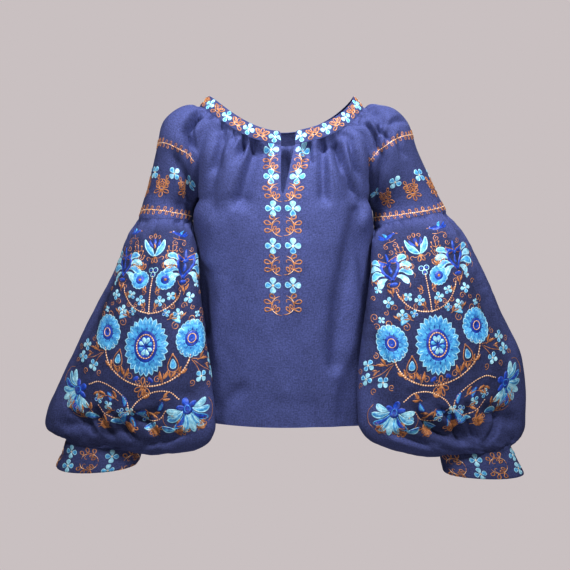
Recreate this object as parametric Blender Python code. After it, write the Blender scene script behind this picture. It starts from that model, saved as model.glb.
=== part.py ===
"""Gathered folk blouse with a slit neck, two-tier raglan sleeves and cuffs, filled out as worn.

Metres, +Z up, the front faces -Y and +X is the viewer's right. The origin is the middle of the
shoulder line, where the wearer's shoulders carry the blouse. Every piece is a cloth wall that
follows one outer surface, so pieces that are sewn together end face to face with a seam gap.
"""
import functools
import math

import bpy
import numpy as np

# Cloth
WALL = 0.0016
SEAM_GAP = 0.0003
LEAST_LEAN = 0.6          # bounds how far a wall reaches into a sharp corner between two pieces
LEAST_MITRE = 0.4         # the same for the corner of a piece's own edge

# Neckband: top edge and sewn lower edge. "left" and "right" are its half widths, "front" and
# "back" its depths, "z" its height at the shoulders, "dip" and "rise" how far it falls at the
# middle of the front and of the back.
BAND_TOP = {"left": 0.1385, "right": 0.1310, "front": 0.098, "back": 0.080,
            "z": 0.0157, "dip": 0.0737, "rise": 0.0600}
BAND_LOW = {"left": 0.1550, "right": 0.1490, "front": 0.107, "back": 0.088,
            "z": -0.0035, "dip": 0.0790, "rise": 0.0655}
BAND_SAG = 2.3            # how sharply the band dips from the shoulders to its middle
BAND_SAG_RIGHT = 1.32     # the same on the right half of the front, which lies lower
BAND_SAG_BACK = 1.75      # the same on the back
RAGLAN_ANGLE = 50.0       # degrees round the neck from the middle of the front to a raglan seam
NECK_BLEND = 0.35         # yoke level by which a sleeve has left the neckband's own outline

# Front slit: a V, its left edge upright and its right edge leaning
SLIT_LEFT = 0.0035
SLIT_RIGHT = 0.0220
SLIT_LEVEL = 0.80         # how far down the yoke the slit runs, 1 being the underarm
SLIT_POINT = 0.125        # share of the slit's length over which its upright edge closes at the tip
SLIT_REACH = 0.35         # share of each half of the front that is pushed aside by the slit
SLIT_EASE = 1.5           # how fast that push dies away from the slit

# Mesh rows and columns
HALF_COLUMNS = 10         # of each half of the front and back panel
RING_COLUMNS = 24         # round a sleeve or a cuff

# Body: a row for each level. Levels 0 to 1 run from the neck to the underarm, beyond 1 to the hem.
# "angle" is the half angle of the front and of the back round the body, in degrees.
BODY_COLUMNS = (
    "level", "angle", "front_y", "front_z", "back_y", "back_z", "left_x", "left_z", "right_x", "right_z"
)
BODY = (
    (0.00, 50.0, -0.107, -0.0825, 0.088, -0.0690, -0.119, -0.032, 0.119, -0.032),
    (0.15, 53.0, -0.114, -0.0990, 0.094, -0.0850, -0.140, -0.045, 0.140, -0.045),
    (0.30, 57.0, -0.120, -0.1180, 0.099, -0.1030, -0.151, -0.063, 0.151, -0.063),
    (0.60, 65.0, -0.130, -0.1570, 0.106, -0.1420, -0.156, -0.130, 0.156, -0.130),
    (1.00, 90.0, -0.137, -0.2060, 0.109, -0.1960, -0.156, -0.185, 0.158, -0.185),
    (1.10, 90.0, -0.138, -0.2350, 0.109, -0.2270, -0.162, -0.207, 0.163, -0.207),
    (1.30, 90.0, -0.138, -0.2900, 0.108, -0.2850, -0.163, -0.265, 0.166, -0.265),
    (1.50, 90.0, -0.136, -0.3700, 0.107, -0.3650, -0.171, -0.350, 0.172, -0.351),
    (1.75, 90.0, -0.134, -0.4800, 0.108, -0.4780, -0.178, -0.468, 0.182, -0.474),
    (2.00, 90.0, -0.132, -0.5920, 0.112, -0.5900, -0.190, -0.580, 0.194, -0.590),
)
BODY_ROUND = 2.35         # 2 is an ellipse, more is boxier
BODY_SIDE_Y = 0.010

# Sleeve rings from the neck (0) to the underarm (1) and on to the gathered seam (2). "in" is the
# point of the ring nearest the body, "out" the farthest, and "gap" the half angle in degrees that
# is open towards the body above the underarm.
TOP_COLUMNS = ("level", "out_x", "out_y", "out_z", "in_x", "in_y", "in_z", "depth", "gap")
TOP_LEFT = (
    (0.00, -0.1550, 0.000, -0.0035, -0.080, -0.006, -0.0480, 0.0640, 92.0),
    (0.12, -0.1680, 0.000, 0.0045, -0.083, -0.006, -0.0700, 0.0700, 88.0),
    (0.30, -0.1960, 0.000, -0.0050, -0.106, -0.004, -0.1000, 0.0760, 80.0),
    (0.50, -0.2230, 0.000, -0.0300, -0.125, -0.002, -0.1330, 0.0790, 66.0),
    (0.75, -0.2360, 0.000, -0.0850, -0.143, 0.004, -0.1670, 0.0760, 40.0),
    (1.00, -0.2520, 0.000, -0.1550, -0.156, 0.010, -0.1850, 0.0690, 0.0),
    (1.25, -0.2600, 0.000, -0.1780, -0.164, 0.010, -0.1910, 0.0670, 0.0),
    (1.60, -0.2650, 0.000, -0.1980, -0.167, 0.008, -0.2030, 0.0660, 0.0),
    (2.00, -0.2700, -0.002, -0.2132, -0.168, 0.002, -0.2160, 0.0660, 0.0),
)
TOP_RIGHT = (
    (0.00, 0.1550, 0.000, -0.0035, 0.080, -0.006, -0.0480, 0.0640, 92.0),
    (0.12, 0.1690, 0.000, 0.0065, 0.083, -0.006, -0.0700, 0.0700, 88.0),
    (0.30, 0.2040, 0.000, -0.0040, 0.108, -0.004, -0.1000, 0.0760, 80.0),
    (0.50, 0.2320, 0.000, -0.0310, 0.127, -0.002, -0.1330, 0.0780, 66.0),
    (0.75, 0.2510, 0.000, -0.0860, 0.145, 0.004, -0.1670, 0.0720, 40.0),
    (1.00, 0.2780, 0.000, -0.1450, 0.158, 0.010, -0.1850, 0.0630, 0.0),
    (1.25, 0.2880, 0.000, -0.1660, 0.167, 0.010, -0.1930, 0.0600, 0.0),
    (1.60, 0.2970, 0.000, -0.1830, 0.169, 0.008, -0.2100, 0.0580, 0.0),
    (2.00, 0.3050, -0.002, -0.1985, 0.169, 0.000, -0.2260, 0.0570, 0.0),
)
RING_ROUND = 2.15

# Lower sleeve rings: level 0 is the gathered seam, 1 the cuff seam. "rise" lifts the back of a ring.
LOW_COLUMNS = ("level", "out_x", "out_y", "out_z", "in_x", "in_y", "in_z", "depth", "rise")
LOW_LEFT = (
    (0.00, -0.2700, -0.002, -0.2132, -0.1680, 0.002, -0.2160, 0.0660, 0.000),
    (0.06, -0.2880, -0.010, -0.2400, -0.1625, -0.045, -0.2420, 0.0690, 0.000),
    (0.15, -0.3060, -0.020, -0.2906, -0.1540, -0.082, -0.2906, 0.0690, 0.000),
    (0.28, -0.3330, -0.030, -0.3494, -0.1490, -0.102, -0.3494, 0.0680, 0.000),
    (0.41, -0.3615, -0.035, -0.4077, -0.1403, -0.118, -0.4077, 0.0680, 0.000),
    (0.54, -0.3885, -0.040, -0.4656, -0.1326, -0.128, -0.4656, 0.0680, 0.000),
    (0.67, -0.4165, -0.046, -0.5234, -0.1251, -0.134, -0.5234, 0.0670, 0.000),
    (0.77, -0.4350, -0.052, -0.5666, -0.1213, -0.138, -0.5700, 0.0640, 0.000),
    (0.83, -0.4400, -0.056, -0.5900, -0.1220, -0.139, -0.5980, 0.0580, 0.002),
    (0.88, -0.4350, -0.062, -0.6020, -0.1360, -0.138, -0.6190, 0.0500, 0.004),
    (0.93, -0.4190, -0.070, -0.6095, -0.1700, -0.130, -0.6330, 0.0410, 0.006),
    (0.97, -0.4040, -0.076, -0.6150, -0.2220, -0.118, -0.6370, 0.0330, 0.007),
    (1.00, -0.3940, -0.080, -0.6190, -0.2600, -0.106, -0.6260, 0.0280, 0.008),
)
LOW_RIGHT = (
    (0.00, 0.3050, -0.002, -0.1985, 0.1690, 0.000, -0.2260, 0.0570, 0.000),
    (0.06, 0.3300, -0.010, -0.2320, 0.1635, -0.045, -0.2520, 0.0640, 0.000),
    (0.15, 0.3600, -0.020, -0.2906, 0.1610, -0.078, -0.2980, 0.0650, 0.000),
    (0.28, 0.3870, -0.030, -0.3494, 0.1525, -0.102, -0.3520, 0.0650, 0.000),
    (0.41, 0.4140, -0.035, -0.4077, 0.1441, -0.118, -0.4090, 0.0650, 0.000),
    (0.54, 0.4400, -0.040, -0.4656, 0.1382, -0.128, -0.4656, 0.0650, 0.000),
    (0.67, 0.4470, -0.046, -0.5234, 0.1343, -0.134, -0.5234, 0.0640, 0.000),
    (0.77, 0.4465, -0.052, -0.5700, 0.1332, -0.138, -0.5680, 0.0620, 0.000),
    (0.83, 0.4450, -0.056, -0.5980, 0.1370, -0.139, -0.5920, 0.0570, 0.002),
    (0.88, 0.4400, -0.062, -0.6110, 0.1560, -0.138, -0.6140, 0.0500, 0.004),
    (0.93, 0.4310, -0.070, -0.6200, 0.2000, -0.130, -0.6330, 0.0410, 0.006),
    (0.97, 0.4210, -0.076, -0.6260, 0.2500, -0.118, -0.6420, 0.0330, 0.007),
    (1.00, 0.4137, -0.080, -0.6300, 0.2830, -0.106, -0.6310, 0.0280, 0.008),
)

# Cuff rings, from the cuff seam (0) to the open end (1)
CUFF_LEFT = (
    (0.00, -0.3940, -0.080, -0.6190, -0.2600, -0.106, -0.6260, 0.0280, 0.008),
    (0.30, -0.3985, -0.082, -0.6335, -0.2570, -0.108, -0.6350, 0.0300, 0.010),
    (1.00, -0.4115, -0.088, -0.6640, -0.2600, -0.112, -0.6520, 0.0300, 0.015),
)
CUFF_RIGHT = (
    (0.00, 0.4137, -0.080, -0.6300, 0.2830, -0.106, -0.6310, 0.0280, 0.008),
    (0.30, 0.4200, -0.082, -0.6450, 0.2840, -0.108, -0.6440, 0.0300, 0.009),
    (1.00, 0.4365, -0.088, -0.6780, 0.2890, -0.112, -0.6700, 0.0300, 0.010),
)

# Soft bulges of the whole cloth, the same on both sides: where, how wide and how far they push
PUFF_COLUMNS = ("x", "y", "z", "radius", "push_x", "push_y", "push_z")
PUFFS = (
    (0.158, -0.060, -0.195, 0.036, 0.013, -0.004, 0.000),
)

# Rows of the mesh: the levels at which each piece has one
YOKE_LEVELS = (0.0, 0.07, 0.16, 0.28, 0.42, 0.56, 0.70, 0.80, 0.91, 1.0)
BODY_LEVELS = YOKE_LEVELS + (1.08, 1.18, 1.32, 1.54, 1.78, 2.0)
TOP_LEVELS = YOKE_LEVELS + (1.3, 2.0)
LOW_LEVELS = (0.0, 0.06, 0.16, 0.29, 0.43, 0.57, 0.69, 0.79, 0.86, 0.93, 0.97, 1.0)
CUFF_LEVELS = (0.0, 0.3, 1.0)

# Largest folds, as soft troughs (depth > 0) or ridges (depth < 0) along a line seen from the front
# (x and z of its two ends), with the width of the trough. They fade out towards a seam.
FOLD_COLUMNS = ("piece", "face", "x1", "z1", "x2", "z2", "width", "depth")
FOLDS = (
    ("body", "front", -0.046, -0.085, -0.088, -0.170, 0.014, 0.0055),
    ("body", "front", -0.074, -0.070, -0.118, -0.150, 0.012, 0.0045),
    ("body", "front", -0.012, -0.100, -0.040, -0.230, 0.020, -0.0030),
    ("body", "front", 0.048, -0.085, 0.060, -0.150, 0.010, 0.0045),
    ("body", "front", 0.072, -0.085, 0.098, -0.220, 0.013, 0.0060),
    ("body", "front", 0.098, -0.060, 0.136, -0.200, 0.012, 0.0060),
    ("body", "front", 0.116, -0.230, 0.128, -0.420, 0.020, 0.0050),
    ("body", "front", -0.060, -0.495, -0.125, -0.560, 0.022, 0.0080),
    ("body", "front", 0.030, -0.250, 0.020, -0.540, 0.045, -0.0030),
    ("body", "back", -0.050, -0.070, -0.075, -0.180, 0.013, 0.0050),
    ("body", "back", -0.010, -0.070, -0.015, -0.240, 0.013, 0.0045),
    ("body", "back", 0.035, -0.070, 0.050, -0.170, 0.012, 0.0050),
    ("body", "back", 0.085, -0.060, 0.118, -0.200, 0.013, 0.0050),
    ("body", "back", -0.090, -0.300, -0.110, -0.580, 0.024, 0.0060),
    ("body", "back", 0.070, -0.320, 0.105, -0.580, 0.026, 0.0060),
    ("top_left", "both", -0.150, -0.010, -0.185, -0.052, 0.010, 0.0060),
    ("top_left", "both", -0.185, -0.052, -0.172, -0.110, 0.010, 0.0060),
    ("top_left", "both", -0.192, -0.090, -0.215, -0.190, 0.012, 0.0040),
    ("top_right", "both", 0.160, -0.020, 0.192, -0.095, 0.011, 0.0055),
    ("top_right", "both", 0.190, -0.015, 0.215, -0.080, 0.012, 0.0045),
    ("low_left", "both", -0.178, -0.300, -0.170, -0.540, 0.017, 0.0060),
    ("low_left", "both", -0.235, -0.235, -0.255, -0.330, 0.013, 0.0045),
    ("low_left", "both", -0.215, -0.560, -0.300, -0.598, 0.013, 0.0080),
    ("low_left", "both", -0.330, -0.575, -0.400, -0.590, 0.011, 0.0060),
    ("low_right", "both", 0.165, -0.430, 0.200, -0.590, 0.015, 0.0070),
    ("low_right", "both", 0.235, -0.235, 0.225, -0.330, 0.013, 0.0045),
    ("low_right", "both", 0.250, -0.585, 0.330, -0.612, 0.012, 0.0080),
    ("low_right", "both", 0.360, -0.560, 0.425, -0.585, 0.013, 0.0070),
)
FOLD_FADE = 0.03          # distance over which a fold fades in and out along its own line
BODY_FADE = 0.15          # level below the neck over which the folds of the body come in
SIDE_FADE = 0.20          # share of a panel's half width over which they fade towards its seams
TOP_FADE = 0.12           # the same as BODY_FADE on an upper sleeve, then towards its lower seam
TOP_END_FADE = 0.40
RAGLAN_FADE = 0.10        # share of the way round over which a sleeve's folds fade at the raglan
RAGLAN_END = 1.2          # level of an upper sleeve below which there is no raglan seam
LOW_FADE = 0.05           # the same on a lower sleeve, from its gathered seam and to its cuff
LOW_END_FADE = 0.06
NEAR = 1e-4               # step in level or across that a surface normal is measured over

# Pieces whose outer surface runs on smoothly from one to the next, so they share their normals
TUBES = (
    ("front", "back"),
    ("neckband",),
    ("sleeve_top_left", "sleeve_low_left"),
    ("sleeve_top_right", "sleeve_low_right"),
    ("cuff_left",),
    ("cuff_right",),
)
KEY_STEP = 1e-6           # corners this near are one corner

# Cloth finish
CLOTH_COLOUR = (0.085, 0.095, 0.265)
CLOTH_ROUGHNESS = 0.82
SHARP_ANGLE = 50.0        # degrees between faces above which an edge is drawn sharp


def column(rows, names, wanted):
    """One named column of a table."""
    place = names.index(wanted)
    return np.array([row[place] for row in rows], float)


def eased(stations, values, at):
    """A smooth curve through a column's values: cubic pieces with each slope taken from its neighbours."""
    slopes = np.gradient(values, stations)
    at = np.clip(at, stations[0], stations[-1])
    piece = np.clip(np.searchsorted(stations, at, side="right") - 1, 0, len(stations) - 2)
    step = stations[piece + 1] - stations[piece]
    t = (at - stations[piece]) / step
    start = (1 + 2 * t) * (1 - t) ** 2 * values[piece] + t * (1 - t) ** 2 * step * slopes[piece]
    end = t * t * (3 - 2 * t) * values[piece + 1] + t * t * (t - 1) * step * slopes[piece + 1]
    return start + end


def read_table(rows, names, at):
    """Every column of a table at the given levels, by name."""
    stations = column(rows, names, names[0])
    return {name: eased(stations, column(rows, names, name), at) for name in names[1:]}


def power(value, exponent):
    return np.sign(value) * np.abs(value) ** exponent


def smooth_step(t):
    t = np.clip(t, 0.0, 1.0)
    return t * t * (3 - 2 * t)


def slit_shift(across, level):
    """How far a point of the front is pushed aside by the open slit. across is -1 to 1 between the seams."""
    open_part = np.clip(1 - level / SLIT_LEVEL, 0.0, 1.0)
    near = np.clip(1 - np.abs(across) / SLIT_REACH, 0.0, 1.0) ** SLIT_EASE
    left = -SLIT_LEFT * np.minimum(open_part / SLIT_POINT, 1.0)
    right = SLIT_RIGHT * open_part
    side = np.signbit(across)
    return np.where(side, left, right) * near


def sag_of(back, right):
    return np.where(back, BAND_SAG_BACK, np.where(right, BAND_SAG_RIGHT, BAND_SAG))


def neck_edge(angle, edge):
    """A point of the neckband's top or lower edge, at an angle in radians from the middle of the front."""
    c, s = np.cos(angle), np.sin(angle)
    ahead = c > 0
    x = np.where(s > 0, edge["right"], edge["left"]) * s
    across = np.degrees(np.arctan2(s, c)) / RAGLAN_ANGLE
    across = np.where((across == 0) & np.signbit(angle), -0.0, across)
    x = x + slit_shift(across, 0.0)
    y = -np.where(ahead, edge["front"], edge["back"]) * c
    z = edge["z"] - np.where(ahead, edge["dip"], edge["rise"]) * np.abs(c) ** sag_of(~ahead, s > 0)
    return np.stack([x, y, z], axis=-1)


def ring(rows, names, level, angle):
    """A point of a sleeve or cuff ring. Angle 0 faces the body, 90 the front, 180 is the outer side."""
    at = read_table(rows, names, level)
    out = np.stack([at["out_x"], at["out_y"], at["out_z"]], axis=-1)
    inner = np.stack([at["in_x"], at["in_y"], at["in_z"]], axis=-1)
    rise = at["rise"] if "rise" in at else np.zeros_like(level)
    along = power(np.cos(angle), 2 / RING_ROUND)[..., None]
    ahead = power(np.sin(angle), 2 / RING_ROUND)[..., None]
    middle, reach = (out + inner) / 2, (inner - out) / 2
    back = np.stack([np.zeros_like(level), at["depth"], rise], axis=-1)
    return middle + reach * along - back * ahead


def puffed(points):
    """Points moved by the soft bulges of the cloth."""
    moved = points.copy()
    side = np.where(points[..., 0] < 0, -1.0, 1.0)
    for x, y, z, radius, push_x, push_y, push_z in PUFFS:
        away = (side * points[..., 0] - x) ** 2 + (points[..., 1] - y) ** 2 + (points[..., 2] - z) ** 2
        share = np.exp(-away / radius ** 2)
        moved += np.stack([side * push_x * share, push_y * share, push_z * share], axis=-1)
    return moved


def plain_sleeve_top(side, level, across):
    """Upper sleeve without its bulges. across runs 0 to 1 from the front raglan seam over the arm
    to the back one."""
    rows = TOP_LEFT if side < 0 else TOP_RIGHT
    level, across = np.broadcast_arrays(np.asarray(level, float), np.asarray(across, float))
    gap = np.radians(eased(column(rows, TOP_COLUMNS, "level"), column(rows, TOP_COLUMNS, "gap"), level))
    gap = np.where(level >= 1.0, 0.0, np.maximum(gap, 0.0))
    angle = gap + across * (2 * math.pi - 2 * gap)
    point = ring(rows, TOP_COLUMNS, level, angle)
    start_gap = math.radians(rows[0][TOP_COLUMNS.index("gap")])
    start_angle = start_gap + across * (2 * math.pi - 2 * start_gap)
    start = ring(rows, TOP_COLUMNS, np.zeros_like(level), start_angle)
    first, last = math.radians(RAGLAN_ANGLE), math.radians(180 - RAGLAN_ANGLE)
    neck = neck_edge(side * (first + across * (last - first)), BAND_LOW)
    left = (1 - smooth_step(level / NECK_BLEND))[..., None]
    return point + (neck - start) * left


def sleeve_top(side, level, across):
    return puffed(plain_sleeve_top(side, level, across))


def body_side(side, level, face):
    """The edge of the front (face -1) or back (face 1) panel: the raglan seam, then the side seam."""
    level = np.asarray(level, float)
    seam = plain_sleeve_top(side, np.minimum(level, 1.0), np.full_like(level, 0.0 if face < 0 else 1.0))
    at = read_table(BODY, BODY_COLUMNS, level)
    name = "left" if side < 0 else "right"
    below = np.stack([at[name + "_x"], np.full_like(level, BODY_SIDE_Y), at[name + "_z"]], axis=-1)
    return np.where((level > 1.0)[..., None], below, seam)


def body(face, level, across):
    """Front (face -1) or back (face 1) panel. across runs -1 to 1 from the viewer's left to right seam."""
    level, across = np.broadcast_arrays(np.asarray(level, float), np.asarray(across, float))
    at = read_table(BODY, BODY_COLUMNS, level)
    left, right = body_side(-1, level, face), body_side(1, level, face)
    widest = np.radians(np.clip(at["angle"], 0.0, 90.0))
    angle = widest * across
    boxy = 1 + (2 / BODY_ROUND - 1) * smooth_step(level)
    bulge = np.maximum(np.cos(angle), 0.0) ** boxy
    end_bulge = np.maximum(np.cos(widest), 0.0) ** boxy
    bulge = (bulge - end_bulge) / (1 - end_bulge)
    power_of_sag = sag_of(face > 0, across > 0)
    sag = np.maximum(np.cos(angle), 0.0) ** power_of_sag
    end_sag = np.maximum(np.cos(widest), 0.0) ** power_of_sag
    sag = (sag - end_sag) / (1 - end_sag)
    edge = np.where((across < 0)[..., None], left, right)
    middle_y = at["front_y"] if face < 0 else at["back_y"]
    middle_z = at["front_z"] if face < 0 else at["back_z"]
    x = edge[..., 0] * np.abs(np.sin(angle) / np.sin(widest))
    if face < 0:
        x = x + slit_shift(across, level)
    y = edge[..., 1] + (middle_y - edge[..., 1]) * bulge
    z = edge[..., 2] + (middle_z - edge[..., 2]) * sag
    return puffed(np.stack([x, y, z], axis=-1))


def fold_depth(piece, face, x, z):
    """How far the folds of a piece push it in at a place seen from the front."""
    total = np.zeros_like(x)
    for name, side, x1, z1, x2, z2, width, depth in FOLDS:
        if name != piece or side not in (face, "both"):
            continue
        length = math.hypot(x2 - x1, z2 - z1)
        dx, dz = (x2 - x1) / length, (z2 - z1) / length
        along = (x - x1) * dx + (z - z1) * dz
        aside = (x - x1) * dz - (z - z1) * dx
        ends = smooth_step((along + FOLD_FADE / 2) / FOLD_FADE)
        ends = ends * smooth_step((length + FOLD_FADE / 2 - along) / FOLD_FADE)
        total += depth * np.exp(-((aside / width) ** 2)) * ends
    return total


def grid_quads(points):
    """The quads of a rows by columns grid, as corner points."""
    quads = np.stack([points[:-1, :-1], points[1:, :-1], points[1:, 1:], points[:-1, 1:]], axis=2)
    return quads.reshape(-1, 4, 3)


def with_folds(surface, level, across, piece, face, share):
    """Points of a surface pushed in along its normals by the piece's folds."""
    level, across = np.broadcast_arrays(level, across)
    points = surface(level, across)
    top = max(level.max(), 1.0)
    down = surface(np.minimum(level + NEAR, top), across) - surface(np.maximum(level - NEAR, 0.0), across)
    over = surface(level, across + NEAR) - surface(level, across - NEAR)
    normal = np.cross(down, over)
    normal /= np.maximum(np.linalg.norm(normal, axis=-1, keepdims=True), 1e-12)
    depth = fold_depth(piece, face, points[..., 0], points[..., 2]) * share
    return points - normal * depth[..., None]


def body_share(level, across):
    """How much of its folds the body has at a place: none at a seam."""
    return smooth_step(level / BODY_FADE) * smooth_step((1 - np.abs(across)) / SIDE_FADE)


def front_panel():
    halves = []
    level = np.array(BODY_LEVELS)[:, None]
    for sign in (-1, 1):
        steps = np.linspace(0.0, 1.0, HALF_COLUMNS + 1)[None, :]
        across = np.copysign(np.flip(steps) if sign < 0 else steps, sign)
        share = body_share(level, across)
        share = share * np.where(level < SLIT_LEVEL, smooth_step(np.abs(across) / SIDE_FADE), 1.0)
        surface = functools.partial(body, -1)
        halves.append(grid_quads(with_folds(surface, level, across, "body", "front", share)))
    return np.concatenate(halves)


def back_panel():
    level = np.array(BODY_LEVELS)[:, None]
    across = np.linspace(1.0, -1.0, 2 * HALF_COLUMNS + 1)[None, :]
    share = body_share(level, across)
    return grid_quads(with_folds(functools.partial(body, 1), level, across, "body", "back", share))


def sleeve_top_panel(side):
    level = np.array(TOP_LEVELS)[:, None]
    across = np.linspace(0.0, 1.0, RING_COLUMNS + 1)[None, :]
    across = across if side > 0 else 1 - across
    share = smooth_step(level / TOP_FADE) * smooth_step((2 - level) / TOP_END_FADE)
    from_seam = smooth_step(np.minimum(across, 1 - across) / RAGLAN_FADE)
    share = share * np.where(level < RAGLAN_END, from_seam, 1.0)
    name = "top_left" if side < 0 else "top_right"
    return grid_quads(with_folds(functools.partial(sleeve_top, side), level, across, name, "both", share))


def tube_panel(rows, levels, name):
    """A closed tube of rings. The columns run the way that turns its faces outwards."""
    level = np.array(levels)[:, None]
    turn = np.linspace(0.0, 2 * math.pi, RING_COLUMNS + 1)[None, :]
    turn = turn if rows[0][1] > 0 else 2 * math.pi - turn
    share = smooth_step(level / LOW_FADE) * smooth_step((1 - level) / LOW_END_FADE)

    def surface(row, angle):
        return puffed(ring(rows, LOW_COLUMNS, row, angle))

    return grid_quads(with_folds(surface, level, turn, name, "both", share))


def band_panel():
    """The neckband, from the right edge of the slit round the back to the left edge."""
    raglan = math.radians(RAGLAN_ANGLE)
    front = np.linspace(0.0, raglan, HALF_COLUMNS + 1)
    arm = np.linspace(raglan, math.pi - raglan, RING_COLUMNS + 1)
    back = np.linspace(math.pi - raglan, math.pi + raglan, 2 * HALF_COLUMNS + 1)
    angles = np.concatenate([front, arm[1:], back[1:-1]])
    angles = np.concatenate([angles, -np.flip(arm[1:]), -np.flip(front)])
    angles[-1] = -0.0
    points = np.stack([neck_edge(angles, BAND_TOP), neck_edge(angles, BAND_LOW)])
    return grid_quads(points)


def key_of(point):
    return tuple(np.round(np.asarray(point) / KEY_STEP).astype(int))


def corner_normals(quads):
    """The outward unit normal at each corner of a piece, by the corner's key."""
    total = {}
    for quad in quads:
        normal = np.cross(quad[2] - quad[0], quad[3] - quad[1])
        for corner in quad:
            key = key_of(corner)
            total[key] = total.get(key, 0) + normal
    return {key: normal / np.linalg.norm(normal) for key, normal in total.items()}


def inward_steps(panels):
    """The step from the outer to the inner side of the cloth at each corner, halfway between the tubes
    (body, sleeve, cuff, band) that share it, and longer where they meet at an angle."""
    found = {}
    for names in TUBES:
        quads = np.concatenate([panels[name] for name in names])
        for key, normal in corner_normals(quads).items():
            found.setdefault(key, []).append(normal)
    steps = {}
    for key, normals in found.items():
        middle = np.sum(normals, axis=0)
        middle = middle / np.linalg.norm(middle)
        lean = np.mean([middle.dot(normal) for normal in normals])
        steps[key] = -middle * WALL / max(lean, LEAST_LEAN)
    return steps


def cloth_mesh(name, quads, steps):
    """A closed wall: the quads as its outer side, an inner side WALL deep and rims at its open edges."""
    places, points, faces = {}, [], []
    for quad in quads:
        face = []
        for corner in quad:
            key = key_of(corner)
            if key not in places:
                places[key] = len(points)
                points.append(np.array(corner))
            if places[key] not in face:
                face.append(places[key])
        if len(face) >= 3:
            faces.append(face)
    inward = [steps[key] for key in places]
    edges = {}
    for number, face in enumerate(faces):
        for a, b in zip(face, face[1:] + face[:1]):
            edges.setdefault((min(a, b), max(a, b)), []).append((a, b, number))
    rim = [found[0] for found in edges.values() if len(found) == 1]
    pull = {}
    for a, b, number in rim:
        centre = np.mean([points[i] for i in faces[number]], axis=0)
        aside = np.cross(points[b] - points[a], inward[a] + inward[b])
        aside = aside / np.linalg.norm(aside)
        aside = aside * (1 if aside.dot(centre - (points[a] + points[b]) / 2) > 0 else -1)
        pull.setdefault(a, []).append(aside)
        pull.setdefault(b, []).append(aside)
    for index, sides in pull.items():
        first, second = sides[0], sides[-1]
        mitre = (first + second) / max(1 + first.dot(second), LEAST_MITRE)
        points[index] = points[index] + mitre * SEAM_GAP / 2
    count = len(points)
    points += [point + step for point, step in zip(points, inward)]
    faces += [[i + count for i in reversed(face)] for face in faces]
    names = {index: key for key, index in places.items()}
    for a, b, _ in rim:
        if names[a] < names[b]:
            faces += [[b, a, b + count], [a, a + count, b + count]]
        else:
            faces += [[b, a, a + count], [b, a + count, b + count]]
    mesh = bpy.data.meshes.new(name)
    mesh.from_pydata([tuple(point) for point in points], [], faces)
    mesh.validate()
    mesh.shade_smooth()
    mesh.set_sharp_from_angle(angle=math.radians(SHARP_ANGLE))
    return mesh


def cloth_material(name):
    material = bpy.data.materials.new(name)
    material.use_nodes = True
    shader = material.node_tree.nodes["Principled BSDF"]
    shader.inputs["Base Color"].default_value = (*CLOTH_COLOUR, 1)
    shader.inputs["Roughness"].default_value = CLOTH_ROUGHNESS
    shader.inputs["Metallic"].default_value = 0.0
    return material


def build():
    for old in list(bpy.data.objects):
        bpy.data.objects.remove(old, do_unlink=True)
    panels = {
        "front": front_panel(),
        "back": back_panel(),
        "neckband": band_panel(),
        "sleeve_top_left": sleeve_top_panel(-1),
        "sleeve_top_right": sleeve_top_panel(1),
        "sleeve_low_left": tube_panel(LOW_LEFT, LOW_LEVELS, "low_left"),
        "sleeve_low_right": tube_panel(LOW_RIGHT, LOW_LEVELS, "low_right"),
        "cuff_left": tube_panel(CUFF_LEFT, CUFF_LEVELS, "cuff"),
        "cuff_right": tube_panel(CUFF_RIGHT, CUFF_LEVELS, "cuff"),
    }
    steps = inward_steps(panels)
    blouse = bpy.data.collections.new("folk_blouse")
    bpy.context.scene.collection.children.link(blouse)
    for name, quads in panels.items():
        piece = bpy.data.objects.new(name, cloth_mesh(name, quads, steps))
        piece.data.materials.append(cloth_material(name + "_cloth"))
        blouse.objects.link(piece)


build()
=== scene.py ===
"""Looks of the gathered, embroidered folk blouse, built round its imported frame.

Metres, +Z up, the front faces -Y, +X is the viewer's right. Each cut piece is a thin shell on the
form of its CAD node, with its gathers and creases placed in its own sizes. The embroidery is laid
out flat, in millimetres across and up a piece, and then sewn onto that piece as raised stitches.
"""
import math

import bpy
import mathutils
import numpy as np
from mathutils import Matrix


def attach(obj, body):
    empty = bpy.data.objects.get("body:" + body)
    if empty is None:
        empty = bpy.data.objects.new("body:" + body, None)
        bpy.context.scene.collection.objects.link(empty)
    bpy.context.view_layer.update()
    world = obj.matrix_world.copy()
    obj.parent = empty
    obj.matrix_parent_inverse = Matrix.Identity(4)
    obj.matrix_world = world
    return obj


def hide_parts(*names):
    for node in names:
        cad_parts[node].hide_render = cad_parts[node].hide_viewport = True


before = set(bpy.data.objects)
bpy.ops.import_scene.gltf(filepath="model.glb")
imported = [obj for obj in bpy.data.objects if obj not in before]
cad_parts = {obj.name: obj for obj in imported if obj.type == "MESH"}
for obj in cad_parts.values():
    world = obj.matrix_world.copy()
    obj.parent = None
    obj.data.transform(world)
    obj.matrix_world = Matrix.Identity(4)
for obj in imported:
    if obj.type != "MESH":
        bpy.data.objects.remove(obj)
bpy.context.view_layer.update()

# ---------------------------------------------------------------- form, in the sizes of the CAD

MM = 0.001
BAND_TOP = {"left": 0.1385, "right": 0.1310, "front": 0.098, "back": 0.080,
            "z": 0.0157, "dip": 0.0737, "rise": 0.0600}
BAND_LOW = {"left": 0.1550, "right": 0.1490, "front": 0.107, "back": 0.088,
            "z": -0.0035, "dip": 0.0790, "rise": 0.0655}
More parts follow.
